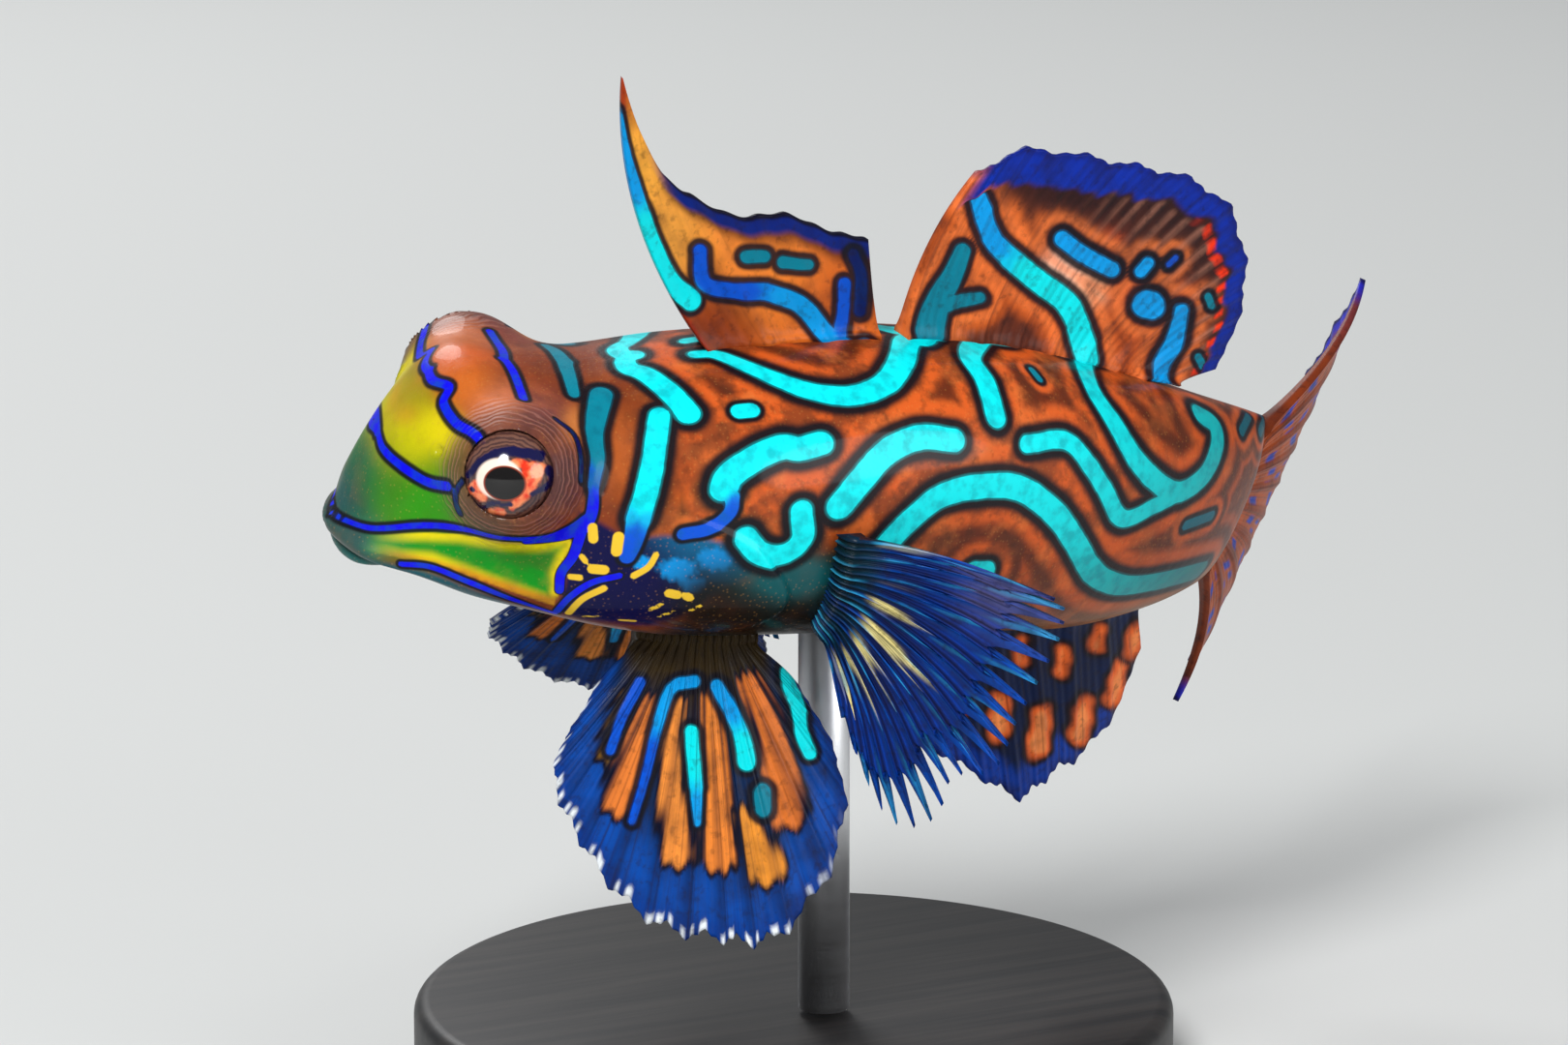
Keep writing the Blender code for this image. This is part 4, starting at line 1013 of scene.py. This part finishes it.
FIRST_DORSAL_LINES = [
    (AZURE, 0.24, 0.66, 0.2, [(638, 112), (646, 158), (661, 214)]),
    (CYAN, 0.66, 1.0, 0.26, [(661, 214), (676, 258), (692, 290), (712, 308)]),
    (DEEP, 0.6, 0.8, 0.3, [(722, 258), (727, 292), (762, 299), (790, 300)]),
    (AZURE, 0.8, 0.9, 0.3, [(790, 300), (826, 314), (850, 342), (874, 358), (888, 356)]),
    (DEEP, 0.55, 0.55, 0.3, [(871, 292), (869, 322), (862, 345)]),
    (TEAL, 0.6, 0.6, 0.3, [(770, 264), (788, 264)]),
    (TEAL, 0.6, 0.45, 0.3, [(808, 270), (834, 272)]),
    (NAVY, 0.5, 0.5, 0.3, [(880, 262), (888, 285), (886, 320)]),
]
FIRST_DORSAL_SPOTS = [
    ((240, 166, 62), (655, 170), 32, 3.0), ((226, 152, 62), (692, 240), 36, 3.0), ((232, 130, 50),
    (745, 250), 34, 1.6), ((236, 130, 50), (800, 285), 40, 1.6), ((120, 44, 18), (740, 335), 34, 1.6),
    ((190, 84, 30), (840, 300), 30, 1.0),
]
FIRST_DORSAL_COLOUR = (196, 92, 32)
FIRST_DORSAL_COATS = [
    # colour, strength, and the measures that bound the coat: where each ends and where it is full
    ((60, 26, 20), 0.8, ("margin", 1.9, 1.0), ("across", 0.10, 0.25)),
    ((0, 34, 112), 1.0, ("margin", 1.25, 0.75), ("across", 0.10, 0.25)),
    ((2, 6, 34), 1.0, ("margin", 0.30, 0.10), ("across", 0.10, 0.25)),
    ((150, 40, 16), 0.8, ("across", 0.035, 0.01)),
]


def blade(name, middle, half):
    """A closed sheet from its middle surface, thickened by half on both sides."""
    columns, rows = half.shape
    normal = np.cross(np.gradient(middle, axis=0), np.gradient(middle, axis=1))
    normal /= np.linalg.norm(normal, axis=-1, keepdims=True)
    points = np.concatenate([(middle + normal * half[..., None]).reshape(-1, 3),
                             (middle - normal * half[..., None]).reshape(-1, 3)])
    i, j = (a.ravel() for a in np.meshgrid(np.arange(columns - 1), np.arange(rows - 1), indexing="ij"))
    a, under = i * rows + j, columns * rows
    top = np.stack([a, a + rows, a + rows + 1, a + 1], -1)
    rim = np.concatenate([np.arange(columns) * rows, (columns - 1) * rows + np.arange(1, rows),
                          np.arange(columns - 2, -1, -1) * rows + rows - 1, np.arange(rows - 2, 0, -1)])
    after = np.roll(rim, -1)
    wall = np.stack([after, rim, under + rim, under + after], -1)
    return new_mesh(name, points, top, under + top[:, ::-1], wall)


class Fin:
    """A fin's sheet of rays and web, with the measures that its paint goes by.

    across is 0 at the first ray and 1 at the last one, out is 0 at the root and 1 at the margin,
    and margin is the distance from the margin in mm.
    """

    def __init__(self, rows, rays, notch, free=0.0):
        """notch is how far the web falls back between the rays, free the share of a ray that is a thread.

        The web falls back by the square of a sine between the rays and by a lesser one between their
        forks, and beside a thread by a high power of a cosine.
        """
        self.rows, self.rays = rows, rays
        self.u = np.linspace(0, 1, max(FIN_COLUMNS, COLUMNS_PER_RAY * (rays - 1) + 1))[:, None]
        below = np.linspace(-ROOT_DEPTH, 0, ROOT_STEPS, endpoint=False)
        self.v = np.concatenate([below, np.linspace(0, 1, FIN_STEPS)])[None]
        phase = pi * self.u * (rays - 1)
        fall = WEB_FALL * np.sin(phase) ** 2 + FORK_FALL * np.sin(FORKS * phase) ** 2
        self.length = curve(rows, 3, self.u) * (1 - notch * fall) * (1 - free * (1 - self.ridges(self.u, 4)))
        self.across, self.out = (self.u + 0 * self.v).ravel(), (self.v + 0 * self.u).ravel()
        self.margin = (self.length * (1 - self.v)).ravel()

    def ridges(self, across, power, parts=1):
        """1 on each ray, or on each of its parts, and 0 between: a raised cosine to a power."""
        return (0.5 + 0.5 * np.cos(2 * pi * parts * (self.rays - 1) * across)) ** power

    def sweep(self, out, swing=0.0):
        """Forward and outward travel along the rays, which leave at an angle and bend evenly, as arcs do."""
        first, bend = np.radians(curve(self.rows, 1, self.u) + swing), curve(self.rows, 2, self.u)
        total = np.radians(np.where(np.abs(bend) < LEAST_BEND, LEAST_BEND, bend))
        here = first + total * out
        return (self.length * (np.cos(first) - np.cos(here)) / total,
                self.length * (np.sin(here) - np.sin(first)) / total)

    def half(self):
        """Half thickness: a thin web, a ridge along each ray that forks towards the margin, a thick root."""
        out = np.clip(self.v, 0, 1)
        return (MEMBRANE_HALF + (MARGIN_HALF - MEMBRANE_HALF) * out
                + RAY_RIDGE * self.ridges(self.u, 4) * (1 - RIDGE_FALL * out)
                + FORK_RIDGE * self.ridges(self.u, 2, FORKS) * fade(out, *FORKED_FROM)
                + ROOT_HALF * np.exp(-np.maximum(self.v + ROOT_EDGE, 0) / ROOT_FADE))

    def mark(self, plain, lines=(), spots=()):
        """Stripes and ground colour, placed by the pixels at which the fin is seen."""
        pixels = to_pixel(self.middle).reshape(-1, 2)
        self.flat = pixels / PIXELS_PER_MM
        self.ground = blend_spots(pixels, spots, plain)
        self.stripe, self.tint = np.full(len(pixels), FAR_OFF), np.zeros((len(pixels), 3))
        if lines:
            self.stripe, self.tint = drawn(self.flat, lines, lambda line: line / PIXELS_PER_MM)

    def past(self, line, width):
        """How many mm of the picture a point lies outside a line drawn through pixels."""
        return beside(self.flat, thread(line) / PIXELS_PER_MM, width)

    def waves(self, *rows):
        """Waves over the sheet, their pace given across it and out along it."""
        return waves(np.stack([self.across, self.out], -1), rows)

    def coats(self, rows, **more):
        """Lays coats over the ground, by the measures of every fin and some more of this one."""
        self.ground = coated(self.ground, rows, {"across": self.across, "out": self.out, "margin": self.margin,
                                                 "stripe": self.stripe, **more})

    def finish(self, node, ray_dark=0.5):
        """The fin's mesh with its values for each vertex, its paint, and the CAD node it stands for.

        The paint is ground, dark streaks along the rays, black-edged stripes, and fine dust.
        """
        piece = blade(node + "_web", self.middle, self.half())
        ray = self.across * (self.rays - 1)
        give(piece, ray=np.tile(ray, 2), stripe=np.tile(self.stripe, 2), tint=np.tile(self.tint, (2, 1)),
             ground=np.tile(self.ground, (2, 1)))
        corners = np.empty(len(piece.data.loops), np.int32)
        piece.data.loops.foreach_get("vertex_index", corners)
        flat = np.tile(np.stack([ray, self.out], -1), (2, 1))[corners]
        piece.data.uv_layers.new(name="rays").data.foreach_set("uv", flat.astype(np.float32).ravel())
        web = Paint(node + "_paint", Roughness=0.46, Specular_IOR_Level=0.08, Coat_Weight=0.09, Coat_Roughness=0.14)
        mottle = web.noise(700.0, 5.0)
        streak = web.noise(1.0, 3.0, web.where((9.0, 1.4, 1.0), "UV"))
        coat = web.coats(web.value("ground", "Color"), (web.step(mottle, 0.35, 0.8, 0.5), FIN_DUSK),
                         (web.step(streak, 0.50, 0.75, ray_dark), FIN_STREAK))
        shine = web.mix(web.times(mottle, 0.3), web.value("tint", "Color"), FIN_SHINE)
        edge = web.uneven("stripe", FIN_EDGE_SCALE, FIN_EDGE_WAVER)
        coat = striped(web, coat, edge, shine, FIN_BLACK, *FIN_EDGES)
        fine = web.bump(web.math("SINE", web.times(web.value("ray"), 2 * pi * FINE_RAYS)), 0.00003, 0.5)
        web.finish(Base_Color=web.mix(web.clouds(*FIN_CLOUDS), coat, FIN_DUST),
                   Normal=web.bump(web.noise(5000.0, 3.0), 0.00003, 0.5, fine))
        web.on(piece)
        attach(piece, "root")
        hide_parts(node)


def median_fin(base, rows, rays, notch, below=False):
    """A fin on the middle of the back or of the belly, its root a little off the skin."""
    fin = Fin(rows, rays, notch)
    s = base[0] + (base[1] - base[0]) * fin.u
    back, out = fin.sweep(fin.v)
    edge = skin(s, pi if below else 0.0)[1]
    fin.middle = place(s + back, 0.0, edge - GAP - out if below else edge + GAP + out)
    return fin


fin = median_fin(FIRST_DORSAL_BASE, FIRST_DORSAL_ROWS, FIRST_DORSAL_RAYS, FIRST_DORSAL_NOTCH)
fin.mark(FIRST_DORSAL_COLOUR, FIRST_DORSAL_LINES, FIRST_DORSAL_SPOTS)
fin.coats(FIRST_DORSAL_COATS)
fin.finish("first_dorsal_fin", 0.22)

# The second dorsal fin is taller, with nine soft rays. Blue stripes run up into its orange
# web, and it has a broad royal blue edge, with a row of red spots just inside its rear part.
SECOND_DORSAL_BASE, SECOND_DORSAL_RAYS, SECOND_DORSAL_NOTCH = (27.3, 43.9), 9, 0.04
SECOND_DORSAL_ROWS = [
    (0.00, 0.0, 30.0, 8.4),
    (0.12, 2.0, 24.0, 9.8),
    (0.25, 10.0, 22.0, 10.2),
    (0.38, 15.0, 20.0, 10.4),
    (0.50, 19.0, 20.0, 10.7),
    (0.62, 26.0, 18.0, 10.4),
    (0.75, 37.0, 16.0, 8.6),
    (0.88, 48.0, 12.0, 6.0),
    (1.00, 66.0, 10.0, 2.6),
]
SECOND_DORSAL_LINES = [
    (AZURE, 0.8, 1.0, 0.36, [(1010, 205), (1022, 243), (1042, 266)]),
    (CYAN, 1.0, 1.15, 0.36, [(1042, 266), (1070, 289), (1099, 311), (1112, 338), (1117, 365)]),
    (AZURE, 0.75, 0.75, 0.36, [(1096, 246), (1116, 261), (1146, 277)]),
    (AZURE, 0.5, 0.5, 0.32, [(1176, 280), (1184, 270)]),
    (AZURE, 1.3, 1.3, 0.36, [(1181, 313), (1187, 314)]),
    (DEEP, 0.3, 0.3, 0.26, [(1205, 272), (1212, 265)]),
    (AZURE, 0.7, 0.95, 0.36, [(1218, 320), (1212, 348), (1196, 378), (1194, 402), (1216, 436)]),
    (TEAL, 0.35, 0.35, 0.22, [(1246, 305), (1250, 315)]),
    (TEAL, 0.35, 0.35, 0.22, [(1236, 368), (1241, 378)]),
    (TEAL, 0.7, 1.3, 0.3, [(992, 258), (982, 282), (966, 310), (955, 340)]),
    (TEAL, 0.8, 0.5, 0.3, [(968, 312), (990, 309), (1010, 306)]),
]
SECOND_DORSAL_SPOTS = [
    # the two pale pink spots at (1098, 280) and (1122, 296) are painted highlights on the web
    ((236, 112, 48), (1050, 222), 26, 2.0), ((190, 84, 36), (1120, 300), 40, 1.0), ((60, 34, 30),
    (1190, 235), 58, 6.0), ((66, 36, 28), (1240, 290), 30, 3.0), ((255, 206, 180), (1098, 280), 15, 12.0),
    ((255, 190, 150), (1122, 296), 13, 12.0), ((244, 96, 50), (1150, 240), 14, 2.0), ((236, 100, 52),
    (1160, 300), 14, 2.0), ((226, 92, 44), (1225, 300), 14, 2.0), ((74, 38, 30), (1120, 222), 36, 3.0),
    ((190, 80, 30), (1150, 350), 40, 1.0), ((112, 40, 24), (1230, 300), 30, 1.4),
]
SECOND_DORSAL_COLOUR = (190, 84, 32)
SECOND_DORSAL_COATS = [
    ((64, 32, 26), 0.85, ("stripe", 2.8, 5.0)),
    ((248, 124, 62), 0.60, ("glow",), ("stripe", 0.5, 1.5)),
    ((46, 24, 24), 0.8, ("inner", 1.9, 0.3), ("across", 0.0, 0.16)),
    ((0, 44, 152), 1.0, ("inner", 0.22, -0.22), ("across", 0.0, 0.06)),
    ((0, 20, 96), 0.5, ("margin", 0.5, 0.1)),
    ((250, 56, 18), 1.0, ("bead_row", 0.36, 0.18), ("beads", 0.25, 0.6), ("across", 0.58, 0.66)),
    ((168, 112, 92), 0.6, ("fine_rays",), ("across", 0.30, 0.5), ("margin", 6.0, 2.0), ("margin", 1.6, 2.0)),
]
GLOW_AT, GLOW_WIDTH = 2.0, 0.9
EDGE_REAR, EDGE_MORE, EDGE_NARROWS = 1.15, 0.75, (0.75, 0.25)
EDGE_WAVES = (0.14, (57, 0), 0), (0.10, (131, 0), 0)
BEADS, BEADS_FROM, BEADS_IN = 11, 0.62, 0.42
fin = median_fin(SECOND_DORSAL_BASE, SECOND_DORSAL_ROWS, SECOND_DORSAL_RAYS, SECOND_DORSAL_NOTCH)
fin.mark(SECOND_DORSAL_COLOUR, SECOND_DORSAL_LINES, SECOND_DORSAL_SPOTS)
edge_width = EDGE_REAR + EDGE_MORE * fade(fin.across, *EDGE_NARROWS)
fin.coats(SECOND_DORSAL_COATS, glow=bump((fin.stripe - GLOW_AT) / GLOW_WIDTH),
          inner=fin.margin - edge_width - fin.waves(*EDGE_WAVES),
          bead_row=np.abs(fin.margin - edge_width - BEADS_IN), fine_rays=fin.ridges(fin.across, 3, FORKS),
          beads=np.sin(pi * BEADS * (fin.across - BEADS_FROM) / (1 - BEADS_FROM)) ** 2)
fin.stripe = np.where(fin.margin < edge_width, np.maximum(fin.stripe, 2.0), fin.stripe)
fin.finish("second_dorsal_fin", 0.35)

# The anal fin hangs under the tail: dark blue, with a row of orange spots along its middle
# between the eight rays and a paler blue edge.
ANAL_BASE, ANAL_RAYS, ANAL_NOTCH = (29.5, 47.0), 8, 0.07
ANAL_ROWS = [
    (0.00, 22.0, 4.0, 6.0),
    (0.25, 27.0, 6.0, 9.6),
    (0.45, 29.0, 6.0, 11.4),
    (0.60, 29.0, 6.0, 10.0),
    (0.78, 30.0, 8.0, 9.0),
    (0.90, 36.0, 8.0, 7.0),
    (1.00, 40.0, 8.0, 3.4),
]
ANAL_LINES = [(TEAL, 0.5, 0.5, 0.3, [(1010, 660), (1012, 676)])]
ANAL_SPOTS = [
    # width at both ends, pixels of an orange spot
    (0.5, 0.7, [(948, 690), (946, 712)]), (0.6, 0.8, [(986, 705), (985, 732)]), (0.7, 0.95, [(1030, 722),
    (1028, 752)]), (0.75, 1.0, [(1073, 735), (1070, 770)]), (0.7, 0.95, [(1117, 726), (1112, 756)]),
    (0.55, 0.8, [(1156, 690), (1150, 720)]), (0.5, 0.65, [(1172, 650), (1169, 672)]), (0.4, 0.5, [(1095, 668),
    (1092, 690)]), (0.4, 0.5, [(1052, 660), (1050, 682)]), (0.4, 0.5, [(1134, 650), (1130, 668)]),
]
ANAL_COLOUR = (10, 30, 66)
ANAL_COATS = [((0, 60, 160), 1.0, ("margin", 2.8, 1.2)), ((2, 20, 90), 0.5, ("margin", 0.6, 0.1))]
ANAL_SPOT_COATS = [
    ((26, 14, 22), 1.0, ("past", 0.42, 0.16)),
    ((240, 104, 44), 1.0, ("past", 0.16, -0.22)),
    ((252, 150, 84), 0.8, ("past", -0.16, -0.42)),
]
ANAL_WAVES, ANAL_SWELL = [(0.09, (3.1, 1.3), 0), (0.06, (-2.7, 4.9), 1)], 0.12
fin = median_fin(ANAL_BASE, ANAL_ROWS, ANAL_RAYS, ANAL_NOTCH, below=True)
fin.mark(ANAL_COLOUR, ANAL_LINES)
fin.coats(ANAL_COATS)
ragged = waves(fin.flat, ANAL_WAVES) - ANAL_SWELL
for start, end, line in ANAL_SPOTS:
    fin.coats(ANAL_SPOT_COATS, past=fin.past(line, (start, end)) + ragged)
fin.finish("anal_fin")

# The tail fin is a rounded fan of ten branched rays that swings away to the fish's right:
# brown-orange between the rays, with blue-violet tips.
CAUDAL_RAYS, CAUDAL_NOTCH, CAUDAL_OVER = 10, 0.05, 0.5
CAUDAL_ROWS = [
    (0.00, 37.0, 4.0, 13.8),
    (0.25, 17.0, 2.0, 14.8),
    (0.50, 0.0, 0.0, 15.4),
    (0.75, -15.0, -2.0, 14.8),
    (1.00, -34.0, -4.0, 13.2),
]
CAUDAL_COLOUR = (168, 78, 36)
CAUDAL_COATS = [((96, 34, 20), 0.6, ("on_ray",))]
CAUDAL_SPOT_COATS = [((30, 60, 170), 1.0, ("on_ray", 0.5, 0.1), ("drift", 0.055, 0.02), ("gaps", -0.7, -0.3))]
CAUDAL_TIP_COATS = [
    ((70, 30, 60), 0.5, ("out", 0.4, 0.8), ("smoke", 0.2, 0.8)),
    ((40, 40, 190), 1.0, ("margin", 2.6, 0.8)),
    ((20, 16, 90), 1.0, ("margin", 0.6, 0.2)),
]
CAUDAL_SPOT_LEVELS = (0.22, 0.42, 0.62)
fin = Fin(CAUDAL_ROWS, CAUDAL_RAYS, CAUDAL_NOTCH)
top, bottom = (curve(SECTIONS, k, BODY_LENGTH) for k in (1, 2))
rise, back = fin.sweep(fin.v)
root_z = top - CAUDAL_OVER + (bottom - top + 2 * CAUDAL_OVER) * fin.u
fin.middle = place(BODY_LENGTH + GAP + back, 0.0, root_z + rise)
fin.mark(CAUDAL_COLOUR)
on_ray = fin.ridges(fin.across, 2)
fin.coats(CAUDAL_COATS, on_ray=on_ray)
for level in CAUDAL_SPOT_LEVELS:
    fin.coats(CAUDAL_SPOT_COATS, on_ray=on_ray, gaps=fin.waves((1, (83, 0), 40 * level)),
              drift=np.abs(fin.out - level - fin.waves((0.05, (31, 0), 9 * level))))
fin.coats(CAUDAL_TIP_COATS, smoke=fin.waves((1, (29, 0), 2)))
fin.finish("caudal_fin")

# The pelvic fins are two broad round fans under the breast, on which the fish rests and walks.
# Orange streaks lie between the rays, with blue lines among them and a wide dark blue edge.
PELVIC_BASE_S, PELVIC_BASE_TURN = (14.0, 20.0), (152.0, 152.0)
PELVIC_RAYS, PELVIC_NOTCH, PELVIC_CUP = 15, 0.05, 1.0
PELVIC_SPREAD, PELVIC_SWING = {-1: 25.0, 1: 44.0}, {-1: 0.0, 1: 9.0}
ROOT_SINK, LEAST_LIFT, TILT_LIFT = 0.4, 0.1, 0.43
PELVIC_ROWS = [
    (0.00, -36.0, -2.0, 2.8),
    (0.14, -38.0, -6.0, 7.4),
    (0.29, -24.0, -4.0, 10.6),
    (0.43, -9.0, -2.0, 13.5),
    (0.57, 2.0, 0.0, 14.5),
    (0.71, 11.0, 2.0, 14.6),
    (0.86, 33.0, 4.0, 9.8),
    (1.00, 46.0, 4.0, 3.4),
]
PELVIC_LINES = [
    (AZURE, 0.55, 0.45, 0.3, [(716, 704), (692, 712), (676, 758)]),
    (DEEP, 0.45, 0.34, 0.26, [(676, 758), (665, 805), (652, 848)]),
    (CYAN, 0.6, 0.6, 0.32, [(713, 756), (716, 791), (718, 812)]),
    (AZURE, 0.6, 0.34, 0.24, [(718, 812), (719, 850)]),
    (AZURE, 0.6, 0.7, 0.32, [(739, 709), (751, 730), (762, 752)]),
    (CYAN, 0.7, 0.85, 0.32, [(762, 752), (767, 768), (770, 787)]),
    (CYAN, 0.7, 0.6, 0.28, [(812, 682), (812, 704), (822, 730), (826, 756), (835, 778)]),
    (TEAL, 0.8, 0.75, 0.34, [(786, 818), (787, 836)]),
    (DEEP, 0.5, 0.45, 0.24, [(660, 705), (642, 740), (630, 775)]),
]
PELVIC_WEDGES = [
    # colour, width at both ends, pixels of a wedge of colour between the dark rays
    ((120, 84, 22), 0.6, 0.8, [(648, 722), (628, 778)]),
    ((214, 116, 50), 0.7, 1.5, [(672, 728), (655, 775), (640, 826)]),
    ((240, 142, 60), 0.6, 1.35, [(698, 728), (692, 790), (699, 880)]),
    ((236, 132, 52), 0.7, 1.45, [(733, 722), (738, 800), (742, 884)]),
    ((214, 112, 46), 0.9, 1.6, [(772, 706), (795, 758), (812, 838)]),
    ((246, 152, 52), 0.6, 1.6, [(768, 842), (790, 896)]),
]
PELVIC_COLOUR = (4, 40, 78)
PELVIC_COATS = [
    # the dark olive near the root is the fin's own colour with painted shadow under the breast
    ((54, 42, 20), 1.0, ("out", 0.42, 0.14)),
    ((0, 70, 156), 1.0, ("margin", 5.0, 1.5), ("out", 0.3, 0.6)),
]
PELVIC_EDGE_COATS = [
    ((6, 14, 40), 0.45, ("on_ray",), ("out", 0.1, 0.4)),
    ((0, 48, 124), 0.6, ("margin", 1.4, 0.3)),
    ((236, 242, 246), 1.0, ("specks",), ("margin", 0.60, 0.30), ("across", 0.86, 0.7)),
]
WEDGE_DARK, WEDGE_WAVE = (6, 12, 34), (0.16, (173, 5), 0)
SPECK_WAVE, SPECK_GAPS = (1, (310, 0), 0), (1, (97, 0), 2)


def paired_fin(hand, base_s, base_turn, outward, swing, cup, rows, rays, notch, free=0.0):
    """A fin on one side: rays fan out in a plane from a base line on the skin.

    outward is the blade's way out in the fish's own directions: tail, right and up. Below the
    base line the sheet goes straight down into the skin. Its cup grows as the square of the way out.
    """
    fin = Fin(rows, rays, notch, free)
    s = base_s[0] + (base_s[1] - base_s[0]) * fin.u[:, 0]
    turn = hand * (base_turn[0] + (base_turn[1] - base_turn[0]) * fin.u[:, 0])
    root, normal = skin_point(s, turn), skin_normal(s, turn)
    tail, right, up = (along(sum(base_s) / 2, k) for k in (2, 3, 4))
    way = tail * outward[0] + right * hand * outward[1] + up * outward[2]
    way /= np.linalg.norm(way)
    base = root[-1] - root[0]
    base -= way * np.dot(base, way)
    base /= np.linalg.norm(base)
    sheet = np.cross(base, way)
    lift = GAP + LEAST_LIFT + TILT_LIFT * np.abs(normal @ sheet)
    sink = np.where(fin.v < 0, fin.v / ROOT_DEPTH * (lift[:, None] + ROOT_SINK), 0.0)
    root = (root + normal * lift[:, None])[:, None, :] + normal[:, None, :] * sink[..., None]
    above = np.maximum(fin.v, 0)
    forward, out = fin.sweep(above, swing)
    inward = -hand * cup * above**2
    fin.middle = root + forward[..., None] * base + out[..., None] * way + inward[..., None] * sheet
    return fin


for hand, label in ((-1, "left"), (1, "right")):
    spread = radians(PELVIC_SPREAD[hand])
    fin = paired_fin(hand, PELVIC_BASE_S, PELVIC_BASE_TURN, (0.0, sin(spread), -cos(spread)), PELVIC_SWING[hand],
                     PELVIC_CUP, PELVIC_ROWS, PELVIC_RAYS, PELVIC_NOTCH)
    if hand < 0:
        fin.mark(PELVIC_COLOUR, PELVIC_LINES)
        fin.coats(PELVIC_COATS)
        for colour, start, end, line in PELVIC_WEDGES:
            fin.coats([(WEDGE_DARK, 1.0, ("past", 0.46, 0.26)), (colour, 1.0, ("past", 0.20, -0.16))],
                      past=fin.past(line, (start, end)) + fin.waves(WEDGE_WAVE))
        specks = (fin.waves(SPECK_WAVE) > 0.10) * (fin.waves(SPECK_GAPS) > -0.6)
        fin.coats(PELVIC_EDGE_COATS, on_ray=fin.ridges(fin.across, 3), specks=specks)
        marks = np.where(fin.margin < 0.5, FAR_OFF, fin.stripe), fin.tint, fin.ground
    # the right fin, which is hardly seen, wears the left one's marks
    fin.stripe, fin.tint, fin.ground = marks
    fin.finish("pelvic_fin_" + label)

# The pectoral fins are fans of many fine rays that row the fish along. Their outer web is thin
# and deeply cut between the rays; deep blue, with cream streaks near the base.
PECTORAL_BASE_S, PECTORAL_BASE_TURN = (22.5, 22.5), (86.0, 126.0)
PECTORAL_RAYS, PECTORAL_NOTCH, PECTORAL_FREE, PECTORAL_CUP = 22, 0.10, 0.22, 0.5
PECTORAL_SPREAD, PECTORAL_SWING = radians(34.0), {-1: 0.0, 1: -14.0}
PECTORAL_WAY = (cos(PECTORAL_SPREAD), sin(PECTORAL_SPREAD), 0.0)
PECTORAL_ROWS = [
    (0.00, -6.0, 20.0, 9.0),
    (0.08, -8.0, 20.0, 10.2),
    (0.18, -4.0, 20.0, 10.4),
    (0.28, 8.0, 20.0, 10.2),
    (0.38, 21.0, 18.0, 10.4),
    (0.50, 34.0, 16.0, 11.2),
    (0.60, 43.0, 14.0, 10.2),
    (0.70, 52.0, 12.0, 11.6),
    (0.82, 61.0, 12.0, 11.0),
    (0.92, 66.0, 8.0, 8.0),
    (1.00, 68.0, 6.0, 4.4),
]
PECTORAL_COLOUR = (0, 30, 84)
PECTORAL_COATS = [
    ((0, 84, 184), 0.8, ("on_ray",)),
    ((0, 76, 200), 0.5, ("on_fork",), ("out", 0.35, 0.8)),
    ((236, 220, 142), 1.0, ("streaks",), ("out", 0.10, 0.22), ("past_reach", 0.10, -0.10)),
    ((8, 50, 56), 0.8, ("between",), ("out", 0.26, 0.08)),
    ((12, 30, 26), 0.7, ("out", 0.10, -0.02)),
    ((84, 78, 104), 0.55, ("across", 0.30, 0.12), ("out", 0.55, 0.85)),
    ((206, 206, 180), 0.6, ("across", 0.03, 0.01), ("out", 0.55, 0.3), ("out", 0.12, 0.2)),
    # painted highlights: cyan-white glints along the rays
    ((60, 190, 240), 0.5, ("on_ray",), ("glints", 0.6, 0.95)),
]
STREAK_WAVES, STREAKS_FROM = ((1.3, (43, 0), -0.6), (0.5, (97, 0), 1)), (0.2, 0.3)
GLINT_WAVE = (1, (61, 9), 0)
STREAK_REACH, REACH_WAVES = 0.42, ((0.12, (29, 0), 0), (0.06, (133, 0), 0))
for hand, label in ((-1, "left"), (1, "right")):
    fin = paired_fin(hand, PECTORAL_BASE_S, PECTORAL_BASE_TURN, PECTORAL_WAY, PECTORAL_SWING[hand],
                     PECTORAL_CUP, PECTORAL_ROWS, PECTORAL_RAYS, PECTORAL_NOTCH, PECTORAL_FREE)
    fin.mark(PECTORAL_COLOUR)
    streaks = np.clip(fin.waves(*STREAK_WAVES), 0, 1) * fade(fin.across, *STREAKS_FROM)
    fin.coats(PECTORAL_COATS, on_ray=fin.ridges(fin.across, 4), on_fork=fin.ridges(fin.across, 2, FORKS),
              streaks=streaks, between=1 - streaks, past_reach=fin.out - STREAK_REACH - fin.waves(*REACH_WAVES),
              glints=fin.waves(GLINT_WAVE))
    fin.finish("pectoral_fin_" + label, 0.35)
